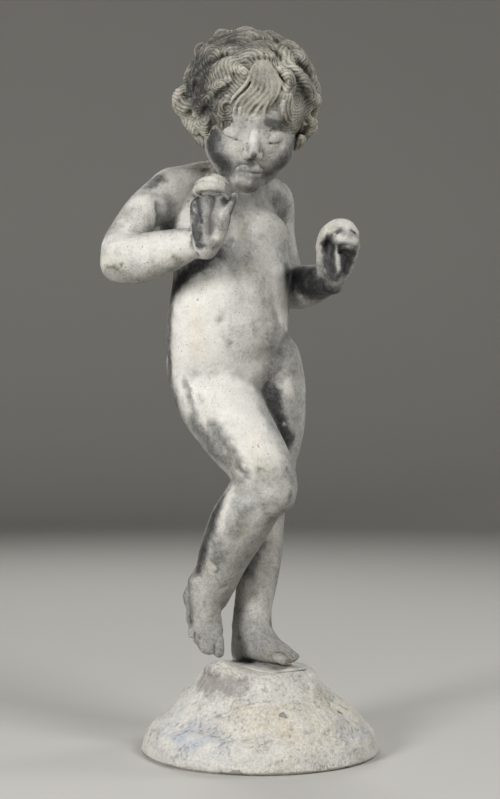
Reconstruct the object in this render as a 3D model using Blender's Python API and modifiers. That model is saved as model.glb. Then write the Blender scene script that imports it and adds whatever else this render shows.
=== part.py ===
"""A child figure cast in lead that stands on a rough rock mound.

Metres, +Z up. The origin is the centre of the mound's flat underside. The camera side is -Y.
The figure stands on its left leg, crosses the right one in front of it and lifts both hands.
"""

import math

import bmesh
import bpy
import numpy as np
from mathutils import Matrix, Vector

# Driving sizes, in metres.
FIGURE_HEIGHT = 0.691
BASE_RADIUS = 0.1325
BASE_HEIGHT = 0.094
BED_GAP = 0.0003

# The figure's pose and proportions are drawn on a figure 691 units tall, with z = 0 at the mound's seat.
DRAWN_HEIGHT = 691.0
UNIT = FIGURE_HEIGHT / DRAWN_HEIGHT
FLESH_VOXEL = 3.0
DETAIL_VOXEL = 1.9
FIGURE_TRIANGLES = 8300


def clear_scene():
    for obj in list(bpy.data.objects):
        bpy.data.objects.remove(obj, do_unlink=True)


def collection(name):
    made = bpy.data.collections.new(name)
    bpy.context.scene.collection.children.link(made)
    return made


def material(name, colour, roughness, metallic):
    made = bpy.data.materials.new(name)
    made.use_nodes = True
    shader = made.node_tree.nodes["Principled BSDF"]
    shader.inputs["Base Color"].default_value = (*colour, 1.0)
    shader.inputs["Roughness"].default_value = roughness
    shader.inputs["Metallic"].default_value = metallic
    made.diffuse_color = (*colour, 1.0)
    return made


def new_object(name, mesh, group):
    obj = bpy.data.objects.new(name, mesh)
    group.objects.link(obj)
    return obj


def mesh_from(name, shape):
    """Turns a bmesh into a mesh whose faces point out."""
    bmesh.ops.recalc_face_normals(shape, faces=shape.faces[:])
    mesh = bpy.data.meshes.new(name)
    shape.to_mesh(mesh)
    shape.free()
    return mesh


def evaluated_mesh(obj):
    """The object's mesh with its modifiers applied, as a mesh of its own."""
    bpy.context.view_layer.update()
    graph = bpy.context.evaluated_depsgraph_get()
    return bpy.data.meshes.new_from_object(obj.evaluated_get(graph))


def smooth_through(stations, steps):
    """Points on a Catmull-Rom curve through the stations, `steps` for each span."""
    rows = np.array(stations, float)
    padded = np.vstack([2 * rows[0] - rows[1], rows, 2 * rows[-1] - rows[-2]])
    found = []
    for k in range(len(rows) - 1):
        a, b, c, d = padded[k : k + 4]
        for t in np.arange(steps) / steps:
            square = (2 * a - 5 * b + 4 * c - d) * t**2
            cube = (3 * b - a - 3 * c + d) * t**3
            found.append(0.5 * (2 * b + (c - a) * t + square + cube))
    found.append(rows[-1])
    return np.array(found)


def loft(shape, stations, front, sides=16, steps=4):
    """Adds a round-ended tube. A station is (x, y, z, half breadth, half thickness), in drawn units.

    The thickness lies towards `front`, which is one direction or one for each station.
    """
    fronts = np.broadcast_to(np.array(front, float), (len(stations), 3))
    rows = smooth_through(np.hstack([np.array(stations, float), fronts]), steps)
    centres, radii, fronts = rows[:, :3], np.maximum(rows[:, 3:5], 0.4), rows[:, 5:]
    tangents = np.gradient(centres, axis=0)
    tangents /= np.linalg.norm(tangents, axis=1)[:, None]
    rings = []
    for k in (75, 50, 25):
        rings.append((0, -math.sin(math.radians(k)), math.cos(math.radians(k))))
    rings += [(k, 0.0, 1.0) for k in range(len(rows))]
    for k in (25, 50, 75):
        rings.append((len(rows) - 1, math.sin(math.radians(k)), math.cos(math.radians(k))))
    loops = []
    for k, along, share in rings:
        depth = fronts[k] - fronts[k] @ tangents[k] * tangents[k]
        depth /= np.linalg.norm(depth)
        side = np.cross(tangents[k], depth)
        centre = centres[k] + tangents[k] * along * radii[k].min()
        loop = []
        for turn in np.arange(sides) * 2 * math.pi / sides:
            offset = side * math.cos(turn) * radii[k][0] + depth * math.sin(turn) * radii[k][1]
            loop.append(shape.verts.new((centre + offset * share) * UNIT))
        loops.append(loop)
    for one, two in zip(loops, loops[1:]):
        for k in range(sides):
            shape.faces.new((one[k], one[(k + 1) % sides], two[(k + 1) % sides], two[k]))
    shape.faces.new(loops[0][::-1])
    shape.faces.new(loops[-1])


def ball(shape, centre, radii, turn=None):
    """Adds an ellipsoid, in drawn units, turned by `turn` where that is given."""
    matrix = Matrix.Translation(Vector(centre) * UNIT)
    if turn is not None:
        matrix = matrix @ turn.to_4x4()
    matrix = matrix @ Matrix.Diagonal((*(r * UNIT for r in radii), 1.0))
    bmesh.ops.create_uvsphere(shape, u_segments=20, v_segments=12, radius=1.0, matrix=matrix)


def turned(degrees):
    """Rotation about +Z that turns a form made facing -Y towards +X."""
    return Matrix.Rotation(math.radians(degrees), 3, "Z")


class Place:
    """A local frame, such as the head's or a hand's: an origin and a rotation, in drawn units."""

    def __init__(self, origin, rotation):
        self.origin = Vector(origin)
        self.rotation = rotation

    def point(self, x, y, z):
        return self.origin + self.rotation @ Vector((x, y, z))

    def stations(self, rows):
        return [(*self.point(*row[:3]), *row[3:]) for row in rows]

    def direction(self, x, y, z):
        return tuple(self.rotation @ Vector((x, y, z)))


def frame_from(origin, up, front):
    """A Place whose local z runs along `up` and whose local -y looks along `front`."""
    z = Vector(up).normalized()
    y = -(Vector(front) - Vector(front).dot(z) * z).normalized()
    x = y.cross(z)
    return Place(origin, Matrix((x, y, z)).transposed())


# The directions that the body's parts face. Trunk and legs look towards the viewer and to the right.
TRUNK_YAW = 34
TRUNK_FRONT = (math.sin(math.radians(TRUNK_YAW)), -math.cos(math.radians(TRUNK_YAW)), 0)
HEAD = Place(
    (-12, -58, 595),
    Matrix.Rotation(math.radians(8), 3, "Z")
    @ Matrix.Rotation(math.radians(5), 3, "Y")
    @ Matrix.Rotation(math.radians(24), 3, "X"),
)
HAND_R = frame_from((-59, -112, 456), (0.0, -0.15, 1), (0.45, -0.9, 0.0))
HAND_L = frame_from((77, -33, 424), (0.28, -0.28, 1), (-0.3, -1, 0.0))
FOOT_L = frame_from((-24, 33, 5), (0, 0, 1), (60, -80, 0))
FOOT_R = frame_from((-64, 15, 82), (0.04, -0.81, 0.58), (0.01, -0.58, -0.81))
FOOT_R_SHARE = 0.94


def behind(z, centre_x, centre_y, depth, aside=0):
    """A point on the back of the trunk, `aside` to the viewer's right when seen from the front."""
    ahead = Vector(TRUNK_FRONT)
    right = Vector((-ahead.y, ahead.x, 0))
    return Vector((centre_x, centre_y, z)) - ahead * depth + right * aside


def torso(shape):
    """Trunk from the crotch to the pit of the neck, with belly, chest, seat and shoulder masses."""
    loft(
        shape,
        [
            (-26, 10, 302, 44, 42),
            (-33, 10, 322, 66, 52),
            (-37, 5, 350, 72, 56),
            (-37, 0, 380, 71, 57),
            (-34, 0, 410, 70, 54),
            (-33, 2, 441, 70, 48),
            (-36, 6, 470, 72, 44),
            (-34, 9, 498, 66, 38),
            (-28, 12, 520, 48, 28),
        ],
        TRUNK_FRONT,
        sides=24,
    )
    turn = turned(TRUNK_YAW)
    for side in (-1, 1):
        ball(shape, behind(322, -32, 8, 23, 29 * side), (36, 31, 42), turn)
        ball(shape, behind(488, -34, 6, 26, 32 * side), (26, 18, 32), turn)
        ball(shape, behind(474, -34, 4, -27, 27 * side), (29, 17, 27), turn)
    ball(shape, behind(372, -35, 0, -25), (50, 36, 46), turn)


def shoulders(shape):
    """The yoke of collar bones and neck muscle that carries both arms."""
    right = [
        (-24, 12, 540, 26, 24), (-52, 5, 534, 25, 24), (-78, -8, 526, 26, 26),
        (-98, -16, 520, 26, 27),
    ]
    left = [(-22, 12, 538, 24, 22), (-6, 28, 528, 22, 22), (11, 44, 517, 24, 24)]
    loft(shape, right, (0, -1, 0))
    loft(shape, left, (0, -1, 0))
    ball(shape, (-90, -8, 492), (24, 26, 34))


def legs(shape):
    """The crossing right leg with its bent knee, and the straight left leg behind it."""
    loft(
        shape,
        [
            (-60, 4, 330, 47, 48), (-48, -12, 294, 46, 47), (-25, -30, 256, 41, 41),
            (-3, -43, 224, 35, 36), (6, -49, 200, 33, 34),
        ],
        (0.5, -0.8, 0.3),
    )
    ball(shape, (12, -62, 193), (25, 22, 25))
    loft(
        shape,
        [
            (4, -46, 202, 32, 33), (-14, -44, 176, 33, 34), (-29, -36, 150, 32.5, 32),
            (-41, -28, 124, 29, 27), (-50, -20, 98, 25, 24), (-57, -12, 78, 23, 20),
        ],
        (0.5, -0.8, 0.3),
    )
    loft(
        shape,
        [
            (0, 22, 330, 46, 48), (3, 22, 298, 46, 48), (5, 22, 259, 43, 43),
            (4, 20, 220, 34, 35), (0, 16, 190, 31, 31),
        ],
        TRUNK_FRONT,
    )
    ball(shape, (4, 0, 190), (21, 16, 24))
    loft(
        shape,
        [
            (0, 17, 196, 30, 31), (-4, 25, 158, 28, 32), (-3, 27, 125, 26, 29),
            (-6, 23, 88, 23, 24), (-10, 19, 60, 21.5, 22), (-11, 17, 38, 22, 24),
        ],
        TRUNK_FRONT,
    )


def feet(shape):
    """Both feet without their toes. Local -y runs from the heel to the toes and z up the ankle."""
    sole = [
        (0, -2, 10, 14, 11), (0, -22, 15, 16, 17), (2, -45, 13, 17, 14), (3, -66, 9, 21, 10),
        (3, -76, 6, 20, 7),
    ]
    instep = [(0, -16, 36, 19, 20), (1, -30, 26, 17, 17), (2, -48, 16, 15, 11)]
    for foot, share in ((FOOT_L, 1.0), (FOOT_R, FOOT_R_SHARE)):
        for form in (sole, instep):
            rows = [(x, y * share, z, a, b) for x, y, z, a, b in form]
            loft(shape, foot.stations(rows), foot.direction(0, 0, 1))
    ball(shape, FOOT_L.point(0, -1, 11), (16, 16, 12))
    ball(shape, FOOT_R.point(0, 0, 12), (15, 14, 15))
    ball(shape, (-72, 6, 74), (16, 16, 18))
    ball(shape, (-69, -6, 56), (15, 16, 22))


def arms(shape):
    """Both arms, bent at the elbow, and the palms without their fingers."""
    forward = (0, -1, 0)
    loft(
        shape,
        [
            (-97, -16, 521, 27, 27), (-112, -29, 508, 25, 25), (-127, -46, 495, 21.5, 22),
            (-141, -60, 474, 20.5, 21), (-150, -70, 455, 21, 22), (-151, -76, 440, 21, 22),
        ],
        forward,
    )
    loft(
        shape,
        [
            (-150, -76, 438, 24, 23), (-132, -82, 441, 27, 25), (-109, -92, 446, 24.5, 23),
            (-90, -100, 451, 21, 20), (-74, -106, 456, 17, 16), (-62, -110, 460, 15, 15),
        ],
        forward,
    )
    loft(
        shape,
        [
            (11, 44, 517, 26, 26), (15, 56, 502, 23, 24), (18, 60, 475, 21, 22),
            (23, 60, 450, 21, 22), (27, 57, 430, 21, 22),
        ],
        forward,
    )
    loft(
        shape,
        [
            (29, 57, 420, 23, 23), (43, 33, 419, 25, 25), (58, 7, 421, 22, 22),
            (71, -18, 426, 18, 18), (79, -33, 432, 15, 15),
        ],
        (0, 0, 1),
    )
    palm = [(0, 0, -6, 14, 13), (0, -2, 12, 18, 11), (0, -1, 30, 19.5, 9.5), (0, 0, 42, 19, 8)]
    heel_of_thumb = [(9, -3, 0, 9, 9), (13, -8, 14, 9, 9), (17, -12, 26, 7, 7.5)]
    for hand, thumb_side in ((HAND_R, 1), (HAND_L, -1)):
        loft(shape, hand.stations(palm), hand.direction(*forward))
        mount = [(x * thumb_side, y, z, a, b) for x, y, z, a, b in heel_of_thumb]
        loft(shape, hand.stations(mount), hand.direction(*forward))


def head(shape):
    """Skull, cheeks, jaw and neck. The face is a plain one, set out by the usual rules of proportion."""
    neck = [
        (-25, 12, 512, 36, 30), (-22, 0, 534, 28, 26), (-17, -18, 556, 27, 26),
        (-14, -32, 578, 29, 29),
    ]
    loft(shape, neck, TRUNK_FRONT)
    turn = HEAD.rotation
    ball(shape, HEAD.point(0, 10, 16), (57, 64, 60), turn)
    ball(shape, HEAD.point(0, -13, 20), (49, 43, 38), turn)
    ball(shape, HEAD.point(0, -9, -21), (50, 46, 50), turn)
    for side in (-1, 1):
        ball(shape, HEAD.point(26 * side, -28, -28), (24, 21, 23), turn)
        ball(shape, HEAD.point(19 * side, -20, -50), (21, 22, 18), turn)
    ball(shape, HEAD.point(0, -41, -61), (15, 13, 13), turn)


def flesh_touches():
    """Hollows pressed into the smooth body, each a run of points, a half width and a depth."""
    rows = [
        (512, -28, 12, 34), (480, -34, 7, 46), (430, -34, 1, 50), (380, -37, 0, 55),
        (352, -36, 5, 58),
    ]
    spine = [behind(z, x, y, depth) for z, x, y, depth in rows]
    cleft = [behind(z, -32, 8, d) for z, d in ((346, 56), (324, 62), (300, 58), (288, 50))]
    touches = [(spine, 9, 3.5), (cleft, 7, 9)]
    for side in (-1, 1):
        fold = [behind(292 + 5 * k * k, -32, 8, 58 - 6 * k, side * (14 + 14 * k)) for k in range(3)]
        touches.append((fold, 6, 3))
    touches.append(([(8, -28, 306), (1, -36, 309), (-30, -50, 320), (-56, -50, 313)], 5, 2.8))
    touches.append(([(8, -24, 304), (22, -22, 322), (32, -8, 346)], 6, 3.5))
    for side in (-1, 1):
        touches.append(([HEAD.point(19 * side, -52, -3), HEAD.point(23 * side, -50, -5)], 10, 5))
        touches.append(([HEAD.point(46 * side, -28, 8), HEAD.point(48 * side, -20, 6)], 14, 2))
    return touches


def features(shape):
    """Lowered lids, nose and lips."""
    forward = HEAD.direction(0, -1, 0)
    turn = HEAD.rotation
    for side in (-1, 1):
        ball(shape, HEAD.point(20.5 * side, -43, -8), (12, 10.5, 9), turn)
        ball(shape, HEAD.point(6.5 * side, -55, -27), (4.6, 5, 4.2), turn)
    nose = [(0, -49.5, 2, 5, 3), (0, -51.5, -8, 4.4, 4), (0, -55.5, -17, 5, 5), (0, -58.5, -24, 6, 6)]
    loft(shape, HEAD.stations(nose), forward, sides=10)
    upper = [
        (-13, -49, -44.5, 1.5, 1.5), (-6, -52.5, -42, 2.6, 2.8), (0, -53, -42.6, 2.2, 2.8),
        (6, -52.5, -42, 2.6, 2.8), (13, -49, -44.5, 1.5, 1.5),
    ]
    lower = [
        (-10, -49, -46.5, 1.5, 1.5), (-4, -52, -48, 3.4, 3.2), (4, -52, -48, 3.4, 3.2),
        (10, -49, -46.5, 1.5, 1.5),
    ]
    loft(shape, HEAD.stations(upper), forward, sides=10)
    loft(shape, HEAD.stations(lower), forward, sides=10)


def fingers(shape):
    """Four curled fingers and a raised thumb on each hand. The thumbs are on the inner sides."""
    for hand, thumb_side, spread in ((HAND_R, 1, 0.95), (HAND_L, -1, 0.78)):
        forward = hand.direction(0, -1, 0)
        for k in range(4):
            x = (13.5 - 9.2 * k) * thumb_side
            drop = (2, 0, 1.5, 5)[k]
            bend = [
                (0, 36, 5.6, 6), (-1, 54, 5.6, 6), (-9, 64, 5.4, 5.6), (-20, 63, 5, 5.2),
                (-26, 53, 4.6, 4.6),
            ]
            rows = [(x, y, z - drop, a, b) for y, z, a, b in bend]
            loft(shape, hand.stations(rows), forward, sides=10)
        thumb = [
            (15, -10, 16, 7.5, 8), (22, -15, 28, 6.5, 7), (25, -19, 40, 5.6, 6),
            (23, -23, 50, 4.6, 4.6),
        ]
        rows = [(x * thumb_side * spread, y, z, a, b) for x, y, z, a, b in thumb]
        loft(shape, hand.stations(rows), forward, sides=10)


# How far each toe lies to the inner side of the foot's middle, the big toe first.
TOE_SPOTS = (13.5, 3.5, -4.5, -12, -19)


def toes(shape):
    """Five toes on each foot, the big toe on the inner side."""
    for foot, inner, reaches in ((FOOT_L, -1, (95, 95, 91, 86, 80)), (FOOT_R, 1, (90, 86, 80, 73, 65))):
        for x, size, reach in zip(TOE_SPOTS, (7.5, 5, 4.8, 4.6, 4.4), reaches):
            x = 3 + x * inner
            rows = [
                (x, 20 - reach, 7, size, size),
                (x, 7 - reach, 8, size, size),
                (x, -reach, 6, size, size * 0.8),
            ]
            loft(shape, foot.stations(rows), foot.direction(0, 0, 1), sides=10)


# Hair: a cap over the skull with locks that lie on it.
HAIR_CENTRE = (-1, 17, 20)
HAIR_RADII = (65.5, 70, 62.5)
LOCK_THICKNESS = 0.7
# Where the front locks lie: side, height, heading, length, curl, breadth and lift.
FORELOCK = [
    (-22, 35, 18, 50, -44, 8, 3),
    (-15, 37, 21, 60, -42, 8, 4),
    (-8, 39, 23, 65, -42, 8, 4.5),
    (-1, 41, 20, 64, -44, 8, 4.5),
    (6, 42, 14, 60, -44, 8, 4),
    (13, 40, 6, 52, -38, 8, 3),
]
FRONT_LOCKS = [
    (-14, 29, -120, 34, 125, 13, 4),
    (34, 62, -114, 53, 70, 17, 2),
    (14, 50, -109, 47, 62, 16, 4),
    (50, 78, -140, 60, 120, 18, 2),
    (-34, 52, -70, 60, 40, 17, 4),
    (-30, 40, -50, 46, 40, 15, 5),
    (-28, 22, -58, 38, 60, 14, 4),
    (-41, 6, -53, 50, 40, 15, 5),
    (-25, 8, -50, 40, 45, 12, 2),
    (-62, -6, -70, 46, 120, 22, 13),
    (-78, -14, 40, 40, -120, 20, 10),
    (-54, -22, -60, 44, 90, 18, 9),
    (-72, -32, 20, 40, -90, 18, 8),
    (-46, -16, -30, 42, 70, 15, 5),
    (-88, 24, -60, 40, 90, 14, 3),
    (-100, 34, -80, 40, 60, 18, 7),
    (-112, 52, -80, 44, 60, 18, 7),
    (-92, -4, -30, 44, 130, 22, 13),
    (-62, 44, -70, 50, 60, 18, 6),
    (-40, 66, -80, 50, 60, 18, 5),
    (10, 78, -110, 50, 60, 18, 5),
    (60, 66, 60, 50, -60, 18, 4),
    (-31, -2, -15, 28, 76, 11, 1),
    (20, 64, 52, 36, -48, 15, 4),
    (52, 53, 48, 50, -40, 17, 5),
    (19, 38, 55, 34, -98, 13, 4),
    (23, 22, 0, 42, 66, 15, 4),
    (44, 28, 50, 48, -81, 16, 4),
    (56, 12, 66, 42, -81, 16, 6),
    (58, -8, 45, 40, -61, 17, 9),
    (54, -24, 40, 38, -76, 15, 8),
    (72, -22, -20, 40, 90, 17, 7),
    (40, 40, 30, 44, 60, 15, 3),
]


def on_cap(spot):
    """The spot pulled on to the hair cap, and the cap's outward direction there."""
    spot = spot / np.linalg.norm(spot / np.array(HAIR_RADII))
    normal = spot / np.array(HAIR_RADII) ** 2
    return spot, normal / np.linalg.norm(normal)


def lock_path(side, height, heading, length, curl, steps=10):
    """Spots and outward directions along one lock, on the cap.

    Side 0 is above the nose and 90 the viewer's right; height is an angle too. The lock runs towards
    `heading`, where 0 is down and 90 the viewer's right, and turns by `curl` degrees on its way.
    """
    a, b = math.radians(side), math.radians(height)
    spot, normal = on_cap(np.array((math.sin(a) * math.cos(b), -math.cos(a) * math.cos(b), math.sin(b))))
    down = np.array((0.0, 0.0, -1.0))
    down -= down @ normal * normal
    down /= np.linalg.norm(down)
    h = math.radians(heading)
    run = down * math.cos(h) + np.cross(normal, down) * math.sin(h)
    path = []
    for k in range(steps + 1):
        path.append((spot, normal))
        spot, normal = on_cap(spot + run * (length / steps))
        bend = math.radians(curl) / steps * (0.4 + 1.2 * k / steps)
        run = run - run @ normal * normal
        run /= np.linalg.norm(run)
        run = run * math.cos(bend) + np.cross(normal, run) * math.sin(bend)
    return path


def lock_spine(side, height, heading, length, curl, breadth, lift):
    """Points along the middle of one lock, each with its outward direction and half breadth."""
    path = lock_path(side, height, heading, length, curl)
    spine = []
    for k, (spot, normal) in enumerate(path):
        share = k / (len(path) - 1)
        half = breadth / 2 * math.sin(math.pi * (0.14 + 0.80 * share)) ** 0.6
        rise = lift * math.sin(math.pi * min(share + 0.25, 1)) + 1
        spine.append((spot + normal * rise + np.array(HAIR_CENTRE), normal, half))
    return spine


def lock(shape, *row):
    """Adds one lock of hair that swells in the middle and ends in a point."""
    spine = lock_spine(*row)
    rows = [(*HEAD.point(*spot), half, max(half * LOCK_THICKNESS, 1.5)) for spot, _, half in spine]
    loft(shape, rows, [HEAD.direction(*normal) for _, normal, _ in spine], sides=10, steps=2)


def locks():
    """Every lock: the ones set by hand in front, and rings of them at the sides and the back."""
    found = FORELOCK + FRONT_LOCKS
    for ring, height in enumerate((84, 62, 42, 22, 2, -16, -33)):
        first = 78 if height > -10 else 90
        count = (4, 8, 10, 11, 11, 9, 8)[ring]
        for k in range(count):
            side = first + (360 - 2 * first) * (k + 0.25 * (ring % 2)) / (count - 1)
            turning = 130 if (k + ring) % 2 else -130
            found.append((side, height, -25 if turning > 0 else 25, 40, turning, 16, 3 + ring % 2))
    return found


def hair(shape):
    ball(shape, HEAD.point(*HAIR_CENTRE), HAIR_RADII, HEAD.rotation)
    for row in locks():
        lock(shape, *row)


def foot_pad(shape):
    """The thin slab cast under the standing foot. Its lower face is bedded into the mound."""
    loft(
        shape,
        [
            (-20, 34, 1.5, 22, 6.5), (-2, 8, 1.5, 33, 6.5), (18, -22, 1.5, 35, 6.5),
            (30, -38, 1.5, 27, 6.5),
        ],
        (0, 0, 1),
        sides=24,
    )


def detail_touches():
    """Fine creases, pressed in after the features are joined on. A depth below 0 raises a ridge."""
    touches = []
    for side in (-1, 1):
        lid = [(30, -44, -10), (26, -51, -12.5), (20, -54, -13.5), (14, -52.5, -12), (10.5, -48.5, -9)]
        fold = [(31, -43, -2), (26, -49.5, 1), (19, -52, 1.5), (12, -50, -1)]
        wing = [(10, -50, -21), (11.5, -51, -26), (9, -53, -31)]
        touches.append(([HEAD.point(x * side, y, z) for x, y, z in lid], 2.6, 2.2))
        touches.append(([HEAD.point(x * side, y, z) for x, y, z in fold], 2.4, 1.2))
        touches.append(([HEAD.point(x * side, y, z) for x, y, z in wing], 2.6, 1.0))
        touches.append(([HEAD.point(3.4 * side, -58, -30)] * 2, 2.4, 1.8))
        touches.append(([HEAD.point(16 * side, -47, -45)] * 2, 4, 1.6))
    mouth = [(-14, -49, -45), (-7, -54, -45.3), (0, -54.5, -44.6), (7, -54, -45.3), (14, -49, -45)]
    touches.append(([HEAD.point(*spot) for spot in mouth], 2.4, 2.2))
    touches.append(([HEAD.point(0, -56, -33), HEAD.point(0, -54, -38)], 2.6, 0.9))
    touches.append(([HEAD.point(-6, -50, -53), HEAD.point(6, -50, -53)], 3.5, 1.4))
    touches.append(([(-8.5, -57, 347)] * 2, 4, 3.5))
    for one, two in zip(FORELOCK, FORELOCK[1:]):
        middle = [(a + b) / 2 for a, b in zip(one, two)]
        groove = [HEAD.point(*(spot + normal * half * 0.5)) for spot, normal, half in lock_spine(*middle)]
        touches.append((groove, 2.2, 3))
    for hand, thumb_side in ((HAND_R, 1), (HAND_L, -1)):
        for k in range(3):
            x = (8.9 - 9.2 * k) * thumb_side
            crease = [(x, 7, 42), (x, 6, 60), (x, -9, 71), (x, -24, 68), (x, -29, 56)]
            touches.append(([hand.point(*spot) for spot in crease], 3, 3.2))
    for foot, inner, reaches in ((FOOT_L, -1, (95, 93, 88, 83)), (FOOT_R, 1, (88, 83, 76, 69))):
        for one, two, reach in zip(TOE_SPOTS, TOE_SPOTS[1:], reaches):
            x = 3 + (0.45 * one + 0.55 * two) * inner
            touches.append(([foot.point(x, -(reach - 14), 14), foot.point(x, -reach, 7)], 3, 3))
    return touches


def press(mesh, touches):
    """Presses each touch into the mesh along the outward directions of the vertices near it."""
    count = len(mesh.vertices)
    places, normals = np.empty(count * 3), np.empty(count * 3)
    mesh.vertices.foreach_get("co", places)
    mesh.vertices.foreach_get("normal", normals)
    places, normals = places.reshape(-1, 3) / UNIT, normals.reshape(-1, 3)
    moved = places.copy()
    for path, width, depth in touches:
        line = smooth_through(path, 6) if len(path) > 2 else np.array(path, float)
        near = np.full(count, 1e9)
        for one, two in zip(line, line[1:]):
            along = two - one
            share = np.clip((places - one) @ along / max(along @ along, 1e-9), 0, 1)
            near = np.minimum(near, np.linalg.norm(places - one - share[:, None] * along, axis=1))
        fall = np.where(near < width, np.cos(np.minimum(near / width, 1) * math.pi / 2) ** 2, 0)
        moved -= normals * (fall * depth)[:, None]
    mesh.vertices.foreach_set("co", (moved * UNIT).ravel())
    mesh.update()


def figure_mesh(helpers):
    """Flesh forms are melted together first. Then the features are joined to them and creased."""
    flesh = bmesh.new()
    for form in (torso, shoulders, legs, feet, arms, head):
        form(flesh)
    body = new_object("flesh_forms", mesh_from("flesh_forms", flesh), helpers)
    melt = body.modifiers.new("melt", "REMESH")
    melt.mode = "VOXEL"
    melt.voxel_size = FLESH_VOXEL * UNIT
    soften = body.modifiers.new("soften", "SMOOTH")
    soften.factor = 0.5
    soften.iterations = 14
    melted = evaluated_mesh(body)
    press(melted, flesh_touches())
    details = bmesh.new()
    details.from_mesh(melted)
    for form in (features, fingers, toes, hair, foot_pad):
        form(details)
    bpy.data.objects.remove(body)
    whole = new_object("figure_forms", mesh_from("figure_forms", details), helpers)
    join = whole.modifiers.new("join", "REMESH")
    join.mode = "VOXEL"
    join.voxel_size = DETAIL_VOXEL * UNIT
    soften = whole.modifiers.new("soften", "SMOOTH")
    soften.factor = 0.5
    soften.iterations = 2
    made = evaluated_mesh(whole)
    press(made, detail_touches())
    bpy.data.objects.remove(whole)
    return made


# The mound, drawn 94 units high and 132.5 in radius: height, reach to -x, reach to +x.
MOUND_DRAWN_HEIGHT = 94
MOUND_DRAWN_RADIUS = 132.5
MOUND_ROWS = [
    (0, 127, 125),
    (4, 133, 130),
    (12, 132, 128),
    (22, 128, 124),
    (32, 120, 115),
    (43, 105, 106),
    (54, 97, 93),
    (62, 91, 80),
    (71, 82, 72),
    (80, 74, 66),
    (88, 68, 60),
    (92.5, 60, 52),
    (94, 48, 40),
    (94, 32, 26),
    (94, 16, 13),
]
MOUND_SIDES = 36
# The low rise under the raised toes: its place, radius and height.
TOE_REST = (-50, -34, 22, 11)


def mound_mesh():
    """Rings round a rough hillock with a flat seat, a low rise under the raised toes and a flat underside.

    The foot follows the base's radius, and the seat follows the figure that stands on it.
    """
    shape = bmesh.new()
    rest_x, rest_y, rest_radius, rest_height = TOE_REST

    def place(x, y, height):
        up = height / MOUND_DRAWN_HEIGHT
        wide = BASE_RADIUS / MOUND_DRAWN_RADIUS * (1 - up) + UNIT * up
        near = math.hypot(x - rest_x, y - rest_y) / rest_radius
        rise = rest_height * UNIT * math.exp(-near * near) * min(max((height - 70) / 20, 0), 1)
        return Vector((x * wide, y * wide, BASE_HEIGHT * up + rise))

    loops = []
    for height, left, right in MOUND_ROWS:
        loop = []
        for k in range(MOUND_SIDES):
            a = 2 * math.pi * k / MOUND_SIDES
            reach = (left + right) / 2 + (right - left) / 2 * math.cos(a)
            rough = 3.0 * math.sin(3 * a + 1.1 + height / 15) + 2.2 * math.sin(7 * a - height / 11)
            reach += rough * abs(math.sin(a)) * math.sin(math.pi * height / MOUND_DRAWN_HEIGHT)
            loop.append(shape.verts.new(place(reach * math.cos(a), reach * math.sin(a), height)))
        loops.append(loop)
    for one, two in zip(loops, loops[1:]):
        for k in range(MOUND_SIDES):
            j = (k + 1) % MOUND_SIDES
            shape.faces.new((one[k], one[j], two[j], two[k]))
    shape.faces.new(loops[0][::-1])
    top = shape.verts.new(place(0, 0, MOUND_DRAWN_HEIGHT))
    for k in range(MOUND_SIDES):
        shape.faces.new((loops[-1][k], loops[-1][(k + 1) % MOUND_SIDES], top))
    bmesh.ops.triangulate(shape, faces=[face for face in shape.faces if len(face.verts) == 4])
    return mesh_from("rock_base", shape)


def main():
    clear_scene()
    statue = collection("lead_child_statue")
    helpers = collection("helpers")
    lead = material("weathered_lead", (0.40, 0.41, 0.41), 0.7, 0.2)
    crust = material("limed_rock", (0.60, 0.59, 0.55), 0.9, 0.0)

    mound = new_object("rock_base", mound_mesh(), statue)
    mound.data.materials.append(crust)

    bed = new_object("bed_cutter", mound.data.copy(), helpers)
    bed.location.z = BED_GAP
    bed.hide_render = True
    bed.display_type = "WIRE"

    figure = new_object("child_figure", figure_mesh(helpers), statue)
    figure.location.z = BASE_HEIGHT
    figure.data.materials.clear()
    figure.data.materials.append(lead)
    figure.data.shade_smooth()
    thin = figure.modifiers.new("thin", "DECIMATE")
    thin.ratio = FIGURE_TRIANGLES / (2 * len(figure.data.polygons))
    seat = figure.modifiers.new("seat", "BOOLEAN")
    seat.operation = "DIFFERENCE"
    seat.solver = "EXACT"
    seat.object = bed


main()
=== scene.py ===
"""Looks for a lead child garden statue on its rock mound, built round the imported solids."""

import itertools
from math import cos, pi, radians, sin

import bmesh
import bpy
import numpy as np
from mathutils import Matrix, Vector
from mathutils.bvhtree import BVHTree


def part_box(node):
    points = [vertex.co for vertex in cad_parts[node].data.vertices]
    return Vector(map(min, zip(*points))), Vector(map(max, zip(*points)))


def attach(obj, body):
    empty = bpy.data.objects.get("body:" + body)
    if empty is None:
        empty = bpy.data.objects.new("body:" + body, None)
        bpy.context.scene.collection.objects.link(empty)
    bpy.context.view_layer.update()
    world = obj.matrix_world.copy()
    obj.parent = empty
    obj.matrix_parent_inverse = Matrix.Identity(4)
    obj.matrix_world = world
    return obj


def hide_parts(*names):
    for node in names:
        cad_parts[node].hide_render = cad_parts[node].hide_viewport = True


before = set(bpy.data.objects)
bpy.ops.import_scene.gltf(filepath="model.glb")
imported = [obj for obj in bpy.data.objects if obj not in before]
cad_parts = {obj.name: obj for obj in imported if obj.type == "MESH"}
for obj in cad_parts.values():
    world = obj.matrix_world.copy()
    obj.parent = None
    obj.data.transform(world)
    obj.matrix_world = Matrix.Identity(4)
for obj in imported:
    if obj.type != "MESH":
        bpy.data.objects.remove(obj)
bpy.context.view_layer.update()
scene = bpy.context.scene


# ---- Rock mound ----
# A hollow lead casting modelled as a rough hillock, with a flat seat and a low rise under the
# raised toes. Years outdoors have left a whitish crust of lime on it, which has flaked off the
# seat's edge and some of the foot.

MM = 0.001
MOUND_HEIGHT = 94
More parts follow.
